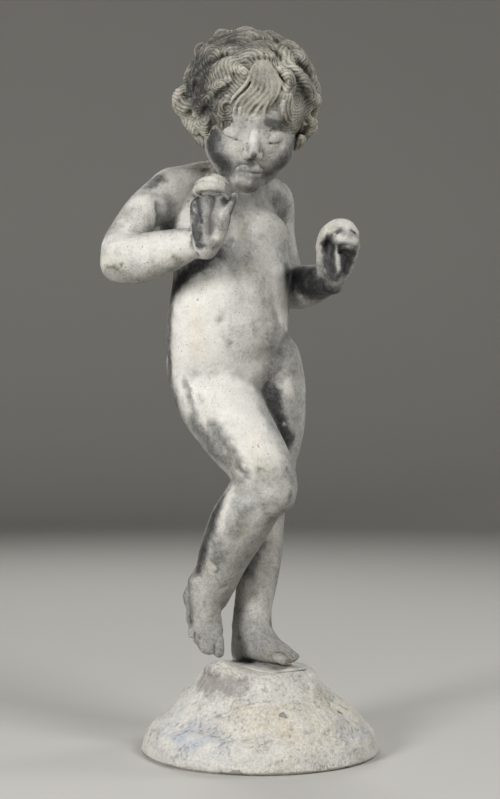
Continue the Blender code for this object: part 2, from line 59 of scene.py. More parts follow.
# Height, reach to -x and reach to +x, in millimetres.
MOUND_ROWS = [
    (0, 127, 125), (4, 133, 130), (12, 132, 128), (22, 128, 124), (32, 120, 115), (43, 105, 106),
    (54, 97, 93), (62, 91, 80), (71, 82, 72), (80, 74, 66), (88, 68, 60), (92.5, 60, 52),
    (94, 48, 40), (94, 32, 26), (94, 16, 13), (94, 3, 3),
]
MOUND_SIDES = 440
TOE_REST = (-50, -34, 22, 11)


def smooth_through(stations, steps):
    """Points on a Catmull-Rom curve through the stations, `steps` for each span."""
    rows = np.array(stations, float)
    padded = np.vstack([2 * rows[0] - rows[1], rows, 2 * rows[-1] - rows[-2]])
    found = []
    for k in range(len(rows) - 1):
        a, b, c, d = padded[k : k + 4]
        for t in np.arange(steps) / steps:
            square = (2 * a - 5 * b + 4 * c - d) * t**2
            cube = (3 * b - a - 3 * c + d) * t**3
            found.append(0.5 * (2 * b + (c - a) * t + square + cube))
    found.append(rows[-1])
    return np.array(found)


def bumps(points, size, seed):
    """A smooth random value from -1 to 1 for each point, in bumps about `size` mm across."""
    spots = points / size + seed * 7.31
    cell = np.floor(spots).astype(np.int64)
    share = spots - cell
    ease = share * share * (3 - 2 * share)
    total = np.zeros(len(points))
    for corner in itertools.product((0, 1), repeat=3):
        x, y, z = (cell + corner).T
        mixed = (x * 73856093 ^ y * 19349663 ^ z * 83492791 ^ seed * 2654435761) & 0xFFFFFFFF
        mixed = (mixed ^ mixed >> 15) * 2246822519 & 0xFFFFFFFF
        mixed = (mixed ^ mixed >> 13) * 3266489917 & 0xFFFFFFFF
        total += np.prod(np.where(corner, ease, 1 - ease), axis=1) * (mixed / 2**31 - 1)
    return total


def closeness(points, path, width):
    """How near each point is to a path, from 1 on it to 0 at `width` and beyond."""
    line = smooth_through(path, 6) if len(path) > 2 else np.array(path, float)
    inside = np.all((points > line.min(0) - width) & (points < line.max(0) + width), axis=1)
    some = points[inside]
    near = np.full(len(some), 1e9)
    for one, two in zip(line, line[1:]):
        along = two - one
        share = np.clip((some - one) @ along / max(along @ along, 1e-9), 0, 1)
        near = np.minimum(near, np.linalg.norm(some - one - share[:, None] * along, axis=1))
    found = np.zeros(len(points))
    found[inside] = np.cos(np.minimum(near / width, 1) * pi / 2) ** 2
    return found


def ease(values, low, high):
    """0 below `low`, 1 above `high`, and smooth between."""
    share = np.clip((values - low) / (high - low), 0, 1)
    return share * share * (3 - 2 * share)


def read(mesh):
    """The mesh's vertices and their outward directions, in millimetres."""
    places, normals = np.empty(len(mesh.vertices) * 3), np.empty(len(mesh.vertices) * 3)
    mesh.vertices.foreach_get("co", places)
    mesh.vertices.foreach_get("normal", normals)
    return places.reshape(-1, 3) / MM, normals.reshape(-1, 3)


def write(mesh, places):
    """Moves the mesh's vertices to these places, in millimetres."""
    mesh.vertices.foreach_set("co", (places * MM).ravel())
    mesh.update()


def hollows(mesh, rounds):
    """How many millimetres each vertex lies below its surroundings, smoothed `rounds` times."""
    places, normals = read(mesh)
    ends = np.empty(len(mesh.edges) * 2, np.int64)
    mesh.edges.foreach_get("vertices", ends)
    ends = ends.reshape(-1, 2)
    here, there = np.vstack([ends, ends[:, ::-1]]).T
    count = np.maximum(np.bincount(here, minlength=len(places)), 1)
    smooth = places
    for _ in range(rounds):
        totals = [np.bincount(here, axis[there], len(places)) for axis in smooth.T]
        smooth = (totals / count).T
    return ((smooth - places) * normals).sum(1)


def paint(mesh, **layers):
    """Keeps a value for each vertex under each name, for the materials to read."""
    for name, values in layers.items():
        layer = mesh.attributes.new(name, "FLOAT", "POINT")
        layer.data.foreach_set("value", np.clip(values, 0, 1).astype(np.float32))


def ring_faces(rings, sides):
    """The faces between rings of vertices that follow one another, with `sides` to a ring."""
    ring = np.arange(rings * sides).reshape(rings, sides)
    after = np.roll(ring, -1, axis=1)
    corners = np.stack([ring[:-1], after[:-1], after[1:], ring[1:]], axis=-1)
    return [tuple(face) for face in corners.reshape(-1, 4).tolist()]


def put(name, data):
    """A new object in the scene that shows the mesh, the lamp or the camera."""
    made = bpy.data.objects.new(name, data)
    scene.collection.objects.link(made)
    return made


def keep_in_solid(places, node):
    """The places, held within the box of the solid that they stand for."""
    low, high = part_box(node)
    return np.clip(places, np.array(low) / MM, np.array(high) / MM)


mound_rows = smooth_through(MOUND_ROWS, 9)
turn = np.arange(MOUND_SIDES) * 2 * pi / MOUND_SIDES
height = np.minimum(mound_rows[:, :1] + 0 * turn, MOUND_HEIGHT)
left, right = mound_rows[:, 1:2], mound_rows[:, 2:3]
reach = (left + right) / 2 + (right - left) / 2 * np.cos(turn)
rough = 3.0 * np.sin(3 * turn + 1.1 + height / 15) + 2.2 * np.sin(7 * turn - height / 11)
reach = reach + rough * abs(np.sin(turn)) * np.sin(pi * height / MOUND_HEIGHT)
x, y = reach * np.cos(turn), reach * np.sin(turn)
rest_x, rest_y, rest_radius, rest_height = TOE_REST
near = np.hypot(x - rest_x, y - rest_y) / rest_radius
rise = rest_height * np.exp(-near * near) * np.clip((height - 70) / 20, 0, 1)
spots = np.stack([x, y, height + rise], axis=2).reshape(-1, 3)
faces = ring_faces(len(mound_rows), MOUND_SIDES)
rim = range(len(spots) - MOUND_SIDES, len(spots))
faces += [tuple(range(MOUND_SIDES))[::-1], tuple(rim)]
mound_mesh = bpy.data.meshes.new("mound")
mound_mesh.from_pydata((spots * MM).tolist(), [], faces)
mound_mesh.update()

# Ledges and steps in the modelled rock: a run of points, a half width and a depth.
MOUND_STEPS = [
    ([(52, -62, 78), (70, -74, 60), (88, -84, 44), (104, -82, 30)], 7, -2.5),
    ([(44, -70, 74), (62, -82, 56), (80, -90, 40)], 6, 2.5),
    ([(-92, -60, 40), (-60, -92, 36), (-20, -106, 38), (30, -108, 34)], 12, 0.9),
    ([(-118, -40, 22), (-80, -92, 20), (-20, -120, 18), (50, -112, 18), (104, -70, 20)], 12, -1.0),
    ([(-84, -30, 76), (-76, -58, 70), (-52, -80, 62), (-10, -88, 60)], 7, -1.4),
    ([(-62, -50, 86), (-58, -66, 72)], 6, 1.4), ([(-40, -58, 86), (-38, -76, 72)], 7, 1.2),
    ([(72, -30, 66), (86, -24, 56), (104, -20, 44)], 6, 2.2),
    ([(-70, 40, 74), (-92, 50, 50), (-110, 50, 30)], 8, 2.5),
    ([(10, 80, 66), (20, 100, 42), (60, 104, 28)], 9, 2.5),
]
places, normals = read(mound_mesh)
above_foot = ease(places[:, 2], 0.5, 5)
bare = 0.5 * ease(bumps(places * (1, 1, 1.3), 26, 3) + 0.4 * bumps(places, 7, 4), 0.86, 1.0)
bare = np.maximum(bare, 0.3 * ease(places[:, 2] + 4 * bumps(places, 12, 5), 86, 90))
# One large bare patch lies under the raised toes, streaked by the rain.
bare_patch = closeness(places, [(-66, -30, 88), (-54, -54, 82), (-28, -64, 84)], 27)
streaks = bumps(places * (1, 1, 0.35), 4.5, 6)
bare = np.maximum(bare, bare_patch * (0.95 + 0.5 * streaks))
# Chips in the crust: a run of points, a half width and an amount.
for path, width, amount in (
    ([(20, -90, 62), (24, -92, 56)], 7, 0.8), ([(50, -100, 3), (86, -88, 2)], 9, 1.0),
    ([(-40, -120, 4), (-20, -124, 2)], 10, 1.0), ([(86, -44, 52)] * 2, 8, 0.8),
):
    chip = closeness(places, path, width) * amount
    bare = np.maximum(bare, ease(chip + 0.3 * bumps(places, 6, 7), 0.3, 0.4))
crack = 1 - ease(abs(bumps(places, 17, 8) + 0.35 * bumps(places, 6, 9)), 0.0, 0.07)
crack *= ease(bumps(places, 40, 10), -0.1, 0.25) * (1 - bare)
pits = ease(bumps(places, 4.5, 11), 0.66, 0.85) * (1 - 0.7 * bare)
sink = 1.1 + 1.2 * bumps(places, 24, 12) + 0.8 * bumps(places, 11, 13)
sink += (0.5 * bumps(places, 5, 14) + 0.36 * bumps(places, 2.8, 15)) * (1 - 0.6 * bare)
sink += 0.9 * bare + 0.8 * crack + 0.8 * pits
seat = ease(places[:, 2], 90, 93.5)
sink = sink * (1 - 0.85 * seat) * above_foot
for path, width, depth in MOUND_STEPS:
    sink += closeness(places, path, width) * depth * above_foot
write(mound_mesh, keep_in_solid(places - normals * sink[:, None], "rock_base"))
places, _ = read(mound_mesh)
# Painted shade and dirt in the rock's hollows, and dirt in the crust's cracks.
deep = 0.45 * ease(hollows(mound_mesh, 4), 0.08, 0.45)
blue = ease(bumps(places, 45, 20) + 0.5 * bumps(places, 16, 21), 0.15, 0.75) * 0.6
blue += closeness(places, [(-96, -60, 36), (-50, -110, 30)], 40) * 0.6
ochre = ease(bumps(places, 50, 22) + 0.4 * bumps(places, 13, 23), 0.1, 0.8) * 0.6
ochre += closeness(places, [(40, -100, 30), (84, -60, 50)], 40) * 0.5
paint(mound_mesh, bare=bare, deep=np.maximum(deep, 0.5 * crack), blue=blue, ochre=ochre)


def hex_colour(code):
    """An sRGB hex value as the linear colour that the shaders take."""
    parts = [int(code[k : k + 2], 16) / 255 for k in (1, 3, 5)]
    return (*(p / 12.92 if p <= 0.04045 else ((p + 0.055) / 1.055) ** 2.4 for p in parts), 1.0)


def add(tree, kind, feeds=None, out=0, **settings):
    """Adds a node and gives one of its outputs. A feed is a value, or a socket to link in."""
    made = tree.nodes.new("ShaderNode" + kind)
    for name, value in settings.items():
        setattr(made, name, value)
    for name, value in (feeds or {}).items():
        if isinstance(value, bpy.types.NodeSocket):
            tree.links.new(value, made.inputs[name])
        else:
            made.inputs[name].default_value = value
    return made.outputs[out]


def new_material(name, roughness, grains, layers):
    """A material with its coordinates, noises (name, size in mm, detail) and painted layers."""
    material = bpy.data.materials.new(name)
    material.use_nodes = True
    tree = material.node_tree
    where = add(tree, "TexCoord", out="Object")
    found = {}
    for grain, size, detail in grains:
        feeds = {"Vector": where, "Scale": 1000 / size, "Detail": detail, "Roughness": roughness}
        found[grain] = add(tree, "TexNoise", feeds)
    for layer in layers:
        found[layer] = add(tree, "Attribute", out="Fac", attribute_name=layer)
    return material, tree, where, found


def coat(mesh, material, finish):
    """Links the finish to the material's shader, and puts the material on the whole mesh."""
    tree = material.node_tree
    for name, source in finish.items():
        tree.links.new(source, tree.nodes["Principled BSDF"].inputs[name])
    mesh.materials.clear()
    mesh.materials.append(material)
    mesh.shade_smooth()


# Lime crust on lead: chalky and matt, so rough and not metallic. Its grain is 1.6 to 18 mm and it
# is crazed in plates of 7 mm. Lead shows grey-blue where it is thin, and rain has left ochre.
CRUST_WHITE, CRUST_SHADE = hex_colour("#c8c5be"), hex_colour("#94928b")
CRUST_BLUE, CRUST_OCHRE = hex_colour("#a7abb4"), hex_colour("#b9ab8c")
BARE_LEAD, CRUST_DIRT_AND_SHADE = hex_colour("#8d8983"), hex_colour("#4c4843")
PLATE_SIZE, PLATE_WANDER = 7, 9
crust, tree, where, seen = new_material(
    "lime_crusted_lead", 0.6, (("broad", 18, 5), ("fine", 3.2, 4), ("pin", 1.6, 2)),
    ("bare", "deep", "blue", "ochre"),
)
broken = add(tree, "Math", {0: seen["fine"], 1: seen["bare"]}, operation="ADD")
feeds = {"Vector": where, "Scale": 1000 / PLATE_SIZE, "Detail": 4}
feeds = {0: add(tree, "TexNoise", feeds, out="Color"), 1: (PLATE_WANDER * MM,) * 3, 2: where}
warped = add(tree, "VectorMath", feeds, operation="MULTIPLY_ADD")
feeds = {"Vector": warped, "Scale": 1000 / PLATE_SIZE}
plates = add(tree, "TexVoronoi", feeds, feature="DISTANCE_TO_EDGE")
for name, source, low, high, most in (
    ("mottle", seen["fine"], 0.4, 0.62, 0.3), ("drifts", seen["broad"], 0.35, 0.65, 0.3),
    ("rust", seen["fine"], 0.4, 0.62, 1), ("washed", seen["broad"], 0.35, 0.65, 1),
    ("holes", seen["pin"], 0.62, 0.7, 0.4), ("flaked", broken, 0.55, 1.5, 1),
    ("joint", plates, 0.12, 0.02, 1), ("crazed", seen["broad"], 0.52, 0.66, 0.42),
):
    feeds = {"Value": source, "From Min": low, "From Max": high, "To Max": most}
    seen[name] = add(tree, "MapRange", feeds, interpolation_type="SMOOTHSTEP")
for name, other in (("blue", "washed"), ("ochre", "rust"), ("joint", "crazed")):
    seen[name] = add(tree, "Math", {0: seen[name], 1: seen[other]}, operation="MULTIPLY")
colour = CRUST_WHITE
# The darkest tint is dirt in the pits and cracks, and painted shade with dirt in the hollows.
for name, tint in (
    ("mottle", CRUST_SHADE), ("drifts", CRUST_SHADE), ("blue", CRUST_BLUE), ("ochre", CRUST_OCHRE),
    ("flaked", BARE_LEAD), ("deep", CRUST_DIRT_AND_SHADE), ("holes", CRUST_DIRT_AND_SHADE), ("joint", CRUST_DIRT_AND_SHADE),
):
    colour = add(tree, "Mix", {0: seen[name], 6: colour, 7: tint}, 2, data_type="RGBA")
relief = add(tree, "Math", {0: seen["fine"], 1: seen["pin"]}, operation="ADD")
bump = add(tree, "Bump", {"Height": relief, "Distance": 0.9 * MM, "Strength": 0.9})
dull = add(tree, "MapRange", {"Value": seen["bare"], "To Min": 0.93, "To Max": 0.68})
coat(mound_mesh, crust, {"Base Color": colour, "Roughness": dull, "Normal": bump})

mound = put("limed_mound", mound_mesh)
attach(mound, "root")
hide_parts("rock_base")


# ---- Child figure: trunk ----
# The figure is one hollow lead casting from a modelled original. Its forms are drawn in
# millimetres from the mound's seat, and melted together as the clay was. The trunk comes first.


def unit(vectors):
    """Each vector, scaled to a length of 1."""
    return vectors / np.linalg.norm(vectors, axis=-1, keepdims=True)


def loft(shape, stations, front, sides=16, steps=4):
    """Adds a round-ended tube. A station is (x, y, z, half breadth, half thickness).

    The thickness lies towards `front`, which is one direction or one for each station.
    """
    fronts = np.broadcast_to(np.array(front, float), (len(stations), 3))
    rows = smooth_through(np.hstack([np.array(stations, float), fronts]), steps)
    centres, radii, fronts = rows[:, :3], np.maximum(rows[:, 3:5], 0.4), rows[:, 5:]
    tangents = unit(np.gradient(centres, axis=0))
    last = len(rows) - 1
    domes = [(0, -75), (0, -50), (0, -25), *((k, 0) for k in range(last + 1))]
    domes += [(last, 25), (last, 50), (last, 75)]
    corners = []
    for k, dome in domes:
        depth = unit(fronts[k] - fronts[k] @ tangents[k] * tangents[k])
        side = np.cross(tangents[k], depth)
        centre = centres[k] + tangents[k] * sin(radians(dome)) * radii[k].min()
        for a in np.arange(sides) * 2 * pi / sides:
            offset = side * cos(a) * radii[k][0] + depth * sin(a) * radii[k][1]
            corners.append(shape.verts.new((centre + offset * cos(radians(dome))) * MM))
    for face in ring_faces(len(domes), sides):
        shape.faces.new([corners[k] for k in face])
    shape.faces.new(corners[:sides][::-1])
    shape.faces.new(corners[-sides:])


def ball(shape, centre, radii, turn=None):
    """Adds an ellipsoid, turned by `turn` where that is given."""
    matrix = Matrix.Translation(Vector(centre) * MM)
    if turn is not None:
        matrix = matrix @ turn.to_4x4()
    matrix = matrix @ Matrix.Diagonal((*(r * MM for r in radii), 1.0))
    bmesh.ops.create_uvsphere(shape, u_segments=32, v_segments=20, radius=1.0, matrix=matrix)


TRUNK_YAW = 34
TRUNK_TURN = Matrix.Rotation(radians(TRUNK_YAW), 3, "Z")
TRUNK_FRONT = (sin(radians(TRUNK_YAW)), -cos(radians(TRUNK_YAW)), 0)
TRUNK = [
    (-26, 10, 302, 44, 42), (-33, 10, 322, 66, 52), (-37, 5, 350, 72, 56), (-37, 0, 380, 71, 57),
    (-34, 0, 410, 70, 54), (-33, 2, 441, 70, 48), (-36, 6, 470, 72, 44), (-34, 9, 498, 66, 38),
    (-28, 12, 520, 48, 28),
]


def behind(z, centre_x, centre_y, depth, aside=0):
    """A point on the back of the trunk, `aside` to the viewer's right when seen from the front."""
    ahead = Vector(TRUNK_FRONT)
    right = Vector((-ahead.y, ahead.x, 0))
    return Vector((centre_x, centre_y, z)) - ahead * depth + right * aside


FORWARD, UPWARD = (0, -1, 0), (0, 0, 1)
flesh = bmesh.new()
loft(flesh, TRUNK, TRUNK_FRONT, sides=32)
# The seat, the shoulder blades and the breasts, on both sides, and then the belly: what behind()
# takes, and the radii.
PAIRED_FORMS = [
    ((322, -32, 8, 23, 29), (36, 31, 42)), ((488, -34, 6, 26, 32), (26, 18, 32)),
    ((474, -34, 4, -27, 27), (29, 17, 27)),
]
BELLY = ((372, -35, 0, -25), (50, 36, 46))
for side in (-1, 1):
    for (*where, aside), radii in PAIRED_FORMS:
        ball(flesh, behind(*where, aside * side), radii, TRUNK_TURN)
ball(flesh, behind(*BELLY[0]), BELLY[1], TRUNK_TURN)
LOWER_BELLY = [
    (-56, -32, 338, 28, 15), (-34, -33, 336, 31, 16), (-12, -24, 330, 30, 16), (8, -6, 324, 26, 14),
]
RIGHT_YOKE = [
    (-24, 12, 540, 26, 24), (-52, 5, 534, 25, 24), (-78, -8, 526, 26, 26), (-98, -16, 520, 26, 27),
]
LEFT_YOKE = [(-22, 12, 538, 24, 22), (-6, 28, 528, 22, 22), (11, 44, 517, 24, 24)]
RIGHT_ARMPIT = ((-90, -8, 492), (24, 26, 34))
for form in (LOWER_BELLY, RIGHT_YOKE, LEFT_YOKE):
    loft(flesh, form, FORWARD)
ball(flesh, *RIGHT_ARMPIT)


# ---- Child figure: legs and feet ----
# The left leg stands and the right one crosses in front of it, on its toes. Both are part of
# the one casting.


class Place:
    """A local frame, such as the head's or a hand's: an origin and a rotation.

    Its ball and loft add a form that is given in this frame.
    """

    def __init__(self, origin, rotation):
        self.origin = Vector(origin)
        self.rotation = rotation

    def point(self, x, y, z):
        return self.origin + self.rotation @ Vector((x, y, z))

    def path(self, spots):
        return [self.point(*spot) for spot in spots]

    def local(self, places):
        return (places - np.array(self.origin)) @ np.array(self.rotation)

    def ball(self, shape, centre, radii):
        ball(shape, self.point(*centre), radii, self.rotation)

    def loft(self, shape, rows, front, **settings):
        stations = [(*self.point(*row[:3]), *row[3:]) for row in rows]
        fronts = np.broadcast_to(np.array(front, float), (len(rows), 3))
        loft(shape, stations, [self.rotation @ Vector(way) for way in fronts], **settings)


def place_from(origin, up, front):
    """A Place whose local z runs along `up` and whose local -y looks along `front`."""
    z = Vector(up).normalized()
    y = -(Vector(front) - Vector(front).dot(z) * z).normalized()
    x = y.cross(z)
    return Place(origin, Matrix((x, y, z)).transposed())


SHIN_FRONT = (0.5, -0.8, 0.3)
RIGHT_THIGH = [
    (-60, 4, 330, 47, 48), (-48, -12, 294, 46, 47), (-25, -30, 256, 41, 41), (-3, -43, 224, 35, 36),
    (6, -49, 200, 33, 34),
]
RIGHT_SHIN = [
    (4, -46, 202, 32, 33), (-14, -44, 176, 33, 34), (-29, -36, 150, 32.5, 32),
    (-41, -28, 124, 29, 27), (-50, -20, 98, 25, 24), (-57, -12, 78, 23, 20),
]
LEFT_THIGH = [
    (0, 22, 330, 46, 48), (3, 22, 298, 46, 48), (5, 22, 259, 43, 43), (4, 20, 220, 34, 35),
    (0, 16, 190, 31, 31),
]
LEFT_SHIN = [
    (0, 17, 196, 30, 31), (-4, 25, 158, 28, 32), (-3, 27, 125, 26, 29), (-6, 23, 88, 23, 24),
    (-10, 19, 60, 21.5, 22), (-11, 17, 38, 22, 24),
]
RIGHT_KNEECAP, LEFT_KNEECAP = ((12, -62, 193), (25, 22, 25)), ((4, 0, 190), (21, 16, 24))
loft(flesh, RIGHT_THIGH, SHIN_FRONT)
ball(flesh, *RIGHT_KNEECAP)
loft(flesh, RIGHT_SHIN, SHIN_FRONT)
loft(flesh, LEFT_THIGH, TRUNK_FRONT)
ball(flesh, *LEFT_KNEECAP)
loft(flesh, LEFT_SHIN, TRUNK_FRONT)

FOOT_L = place_from((-24, 33, 5), (0, 0, 1), (60, -80, 0))
FOOT_R = place_from((-64, 15, 82), (0.04, -0.81, 0.58), (0.01, -0.58, -0.81))
SOLE_L = [
    (0, -2, 10, 14, 11), (0, -22, 15, 17, 17), (2, -45, 14, 18, 15), (3, -66, 10, 20, 11),
    (3, -76, 8, 18, 8),
]
SOLE_R = [
    (0, -2, 10, 14, 11), (0, -21, 15, 16, 17), (2, -42, 13, 17, 14), (4, -57, 9, 18, 10),
    (7, -78, 6, 13, 6.5),
]
INSTEP = [(0, -16, 36, 20, 21), (1, -30, 28, 18, 19), (2, -48, 19, 16, 13)]
RIGHT_ANKLE = [
    (FOOT_R.point(0, 0, 12), (15, 14, 15)), ((-72, 6, 74), (16, 16, 18)), ((-69, -6, 56), (15, 16, 22)),
]
HEEL_COLUMN = [(-12, 20, 42, 20, 22), (-15, 24, 24, 19, 21), (-17, 27, 10, 18, 19)]
for foot, sole, share in ((FOOT_L, SOLE_L, 1.0), (FOOT_R, SOLE_R, 0.92)):
    instep = [(x, y * share, *row) for x, y, *row in INSTEP]
    for form in (sole, instep):
        foot.loft(flesh, form, UPWARD)
loft(flesh, HEEL_COLUMN, TRUNK_FRONT)
for centre, radii in RIGHT_ANKLE:
    ball(flesh, centre, radii)


# ---- Child figure: arms and hands ----
# Both arms are bent, with the hands lifted before the chest and the fingers curled. They were
# cast with the body.

RIGHT_UPPER_ARM = [
    (-97, -16, 521, 27, 27), (-112, -29, 508, 25, 25), (-127, -46, 495, 21.5, 22),
    (-141, -60, 474, 20.5, 21), (-150, -70, 455, 21, 22), (-151, -76, 440, 21, 22),
]
RIGHT_FOREARM = [
    (-150, -76, 438, 24, 23), (-132, -82, 441, 27, 25), (-109, -92, 446, 24.5, 23),
    (-90, -100, 451, 21, 20), (-74, -106, 456, 17, 16), (-62, -110, 460, 15, 15),
]
LEFT_UPPER_ARM = [
    (11, 44, 517, 26, 26), (15, 56, 502, 23, 24), (18, 60, 475, 21, 22), (23, 60, 450, 21, 22),
    (27, 57, 430, 21, 22),
]
LEFT_FOREARM = [
    (29, 57, 420, 23, 23), (43, 33, 419, 25, 25), (58, 7, 421, 22, 22), (71, -18, 426, 18, 18),
    (79, -33, 432, 15, 15),
]
for form in (RIGHT_UPPER_ARM, RIGHT_FOREARM, LEFT_UPPER_ARM):
    loft(flesh, form, FORWARD)
loft(flesh, LEFT_FOREARM, UPWARD)
HAND_R = place_from((-59, -112, 456), (0, -0.15, 1), (0.45, -0.9, 0))
HAND_L = place_from((77, -33, 424), (0.28, -0.28, 1), (-0.3, -1, 0))
PALM = [(0, 0, -6, 14, 13), (0, -2, 12, 18, 11), (0, -1, 30, 19.5, 9.5), (0, 0, 42, 19, 8)]
HEEL_OF_THUMB = [(9, -3, 0, 9, 9), (13, -8, 14, 9, 9), (17, -12, 26, 7, 7.5)]
for hand, thumb_side in ((HAND_R, 1), (HAND_L, -1)):
    hand.loft(flesh, PALM, FORWARD)
    hand.loft(flesh, [(x * thumb_side, *row) for x, *row in HEEL_OF_THUMB], FORWARD)


# ---- Child figure: neck and skull ----
# The head is bowed and turned a little. The face on it is a plain one, set out by the usual
# rules of proportion.

HEAD_TURNS = {"Z": 8, "Y": 5, "X": 24}
turned = Matrix.Identity(3)
for axis, angle in HEAD_TURNS.items():
    turned = turned @ Matrix.Rotation(radians(angle), 3, axis)
HEAD = Place((-12, -58, 595), turned)
NECK = [(-25, 12, 512, 36, 30), (-22, 0, 534, 28, 26), (-17, -18, 556, 27, 26), (-14, -32, 578, 29, 29)]
loft(flesh, NECK, TRUNK_FRONT)
# Ellipsoids of the head, in its own frame: centre and radii. The last rows lie on both sides.
SKULL = [((0, 10, 16), (57, 64, 60)), ((0, -13, 20), (49, 43, 38)), ((0, -9, -21), (49, 45, 50))]
CHIN = ((0, -38, -58), (18, 16, 15))
CHEEKS = [((24, -26, -28), (22, 20, 22)), ((14, -22, -47), (21, 22, 20))]
LIDS = ((20.5, -39.5, -8.5), (13, 11, 9.5))
NOSTRILS = ((6.2, -54.5, -28), (4.8, 5.2, 4.4))
NOSE = [(0, -48, 2, 5, 2.4), (0, -51, -8, 4.6, 3.4), (0, -55.5, -17, 5, 4.6), (0, -59, -24.5, 6.2, 5.4)]
UPPER_LIP = [
    (-12.5, -47.4, -46, 1.8, 2), (-6, -51.6, -43.2, 3, 3), (0, -52.6, -43.4, 2.8, 3),
    (6, -51.6, -43.2, 3, 3), (12.5, -47.4, -46, 1.8, 2),
]
LOWER_LIP = [
    (-10.5, -47.6, -48.2, 1.8, 2), (-4, -51.2, -49.8, 3.6, 3.5), (4, -51.2, -49.8, 3.6, 3.5),
    (10.5, -47.6, -48.2, 1.8, 2),
]
head = bmesh.new()
for centre, radii in (*SKULL, CHIN):
    HEAD.ball(flesh, centre, radii)
    HEAD.ball(head, centre, radii)
for (x, y, z), radii in CHEEKS:
    for side in (-1, 1):
        HEAD.ball(head, (x * side, y, z), radii)


# ---- Child figure: modelling of the flesh ----
# The melted forms are smoothed, and hollows are pressed in where the modeller's thumb went:
# along the spine, round the belly and at the folds.

FLESH_VOXEL, HEAD_VOXEL, FACE_VOXEL = 2.6, 2.2, 1.4


def applied(piece):
    """The piece's mesh with its modifiers applied. The piece itself is taken away."""
    graph = bpy.context.evaluated_depsgraph_get()
    made = bpy.data.meshes.new_from_object(piece.evaluated_get(graph))
    bpy.data.objects.remove(piece)
    return made


def shown_mesh(shape, voxel, rounds):
    """The forms melted into one skin with cells `voxel` mm wide, and smoothed `rounds` times."""
    bmesh.ops.recalc_face_normals(shape, faces=shape.faces[:])
    mesh = bpy.data.meshes.new("forms")
    shape.to_mesh(mesh)
    shape.free()
    forms = put("forms", mesh)
    melt = forms.modifiers.new("melt", "REMESH")
    melt.mode = "VOXEL"
    melt.voxel_size = voxel * MM
    soften = forms.modifiers.new("soften", "SMOOTH")
    soften.factor = 0.5
    soften.iterations = rounds
    return applied(forms)


def press(mesh, touches):
    """Presses in each touch: a run of points, a half width and a depth, which is below 0 for a ridge."""
    places, normals = read(mesh)
    moved = places.copy()
    for path, width, depth in touches:
        moved -= normals * (closeness(places, path, width) * depth)[:, None]
    write(mesh, moved)


SPINE = [(512, -28, 12, 34), (480, -34, 7, 46), (430, -34, 1, 50), (380, -37, 0, 55), (352, -36, 5, 58)]
CLEFT = [(346, 56), (324, 62), (300, 58), (288, 50)]
# Folds, grooves and ridges: a run of points, a half width and a depth.
touches = [
    ([behind(*row) for row in SPINE], 13, 2.0),
    ([behind(z, -32, 8, depth) for z, depth in CLEFT], 8, 8),
    ([(-50, -54, 312), (-34, -54, 308), (-15, -45, 302)], 8, 0.3),
    ([(6, -28, 309), (19, -19, 325), (31, -7, 341)], 6, 2.0),
    ([(3, -38, 425), (3, -40, 400), (6, -44, 379), (3, -47, 360)], 10, 0.8),
    ([(-20, -22, 506), (-22, -38, 470), (-20, -52, 430)], 13, 0.9),
    ([(-30, -19, 521), (-52, -24, 526), (-78, -30, 531)], 7, -1.6),
    ([(-13, -7, 519), (-2, 8, 522), (10, 24, 522)], 7, -1.6),
    ([(-82, -17, 543), (-70, -20, 541), (-60, -18, 546)], 9, 3.5),
    ([(-34, -16, 512), (-58, -22, 515)], 8, 1.8),
    ([(-112, -62, 503), (-113, -58, 486), (-112, -52, 474)], 6, 2.5),
    ([(-96, -40, 505), (-92, -42, 490), (-96, -38, 474)], 12, -1.5),
    ([(-45, -58, 330), (-36, -60, 349), (-36, -61, 366)], 12, 0.8),
    ([(-77, -112, 474), (-75, -121, 462), (-71, -121, 446), (-66, -114, 440)], 5, 2.2),
    ([(-164, -84, 444), (-150, -98, 445), (-132, -100, 448)], 6, 1.5),
    ([(60, -30, 438), (64, -38, 425), (68, -36, 412)], 5, 2.0),
    ([(-75, -47, 96), (-62, -53, 93), (-50, -50, 90), (-40, -40, 90)], 5, 2.0),
    ([(-30, -64, 207), (-12, -78, 208), (14, -84, 212)], 10, 1.0),
    ([(14, -84, 184), (-6, -80, 176), (-18, -74, 162)], 10, 1.2),
    ([(-26, 4, 30), (-8, -6, 34), (8, 4, 36)], 6, 1.2),
]
for side in (-1, 1):
    fold = [behind(292 + 5 * k * k, -32, 8, 58 - 6 * k, side * (14 + 14 * k)) for k in range(3)]
    touches.append((fold, 6, 3))
body = shown_mesh(flesh, FLESH_VOXEL, 16)
press(body, touches)


def on_head(rows, sides=(-1, 1)):
    """Touches that are given in the head's frame, on both of its sides."""
    found = []
    for path, width, depth in rows:
        for side in sides:
            found.append((HEAD.path([(x * side, y, z) for x, y, z in path]), width, depth))
    return found


# Hollows of the face: the brows, the inner corners of the eyes, under the eyes, the temples, the
# corners of the mouth, and the dip over the chin.
touches = on_head([
    ([(11, -52, -3), (20, -50, 1), (30, -44, 0)], 7, 2.2), ([(10, -48, -9)] * 2, 6, 2.2),
    ([(14, -46, -17), (24, -45, -18)], 7, 1.6), ([(46, -28, 8), (48, -20, 6)], 14, 2),
    ([(15.5, -47, -46)] * 2, 5, 1.8),
])
touches += on_head([([(-7, -50, -55), (7, -50, -55)], 6, 1.6)], sides=(1,))
skull = shown_mesh(head, HEAD_VOXEL, 16)
press(skull, touches)
features = bmesh.new()
features.from_mesh(skull)
for (x, y, z), radii in (LIDS, NOSTRILS):
    for side in (-1, 1):
        HEAD.ball(features, (x * side, y, z), radii)
for form in (NOSE, UPPER_LIP, LOWER_LIP):
    HEAD.loft(features, form, FORWARD, sides=14)
face = shown_mesh(features, FACE_VOXEL, 7)


# ---- Child figure: fingers and toes ----
# The small forms that were added to the clay last: the curled fingers and the toes.

details = bmesh.new()
for forms in (body, face):
    details.from_mesh(forms)
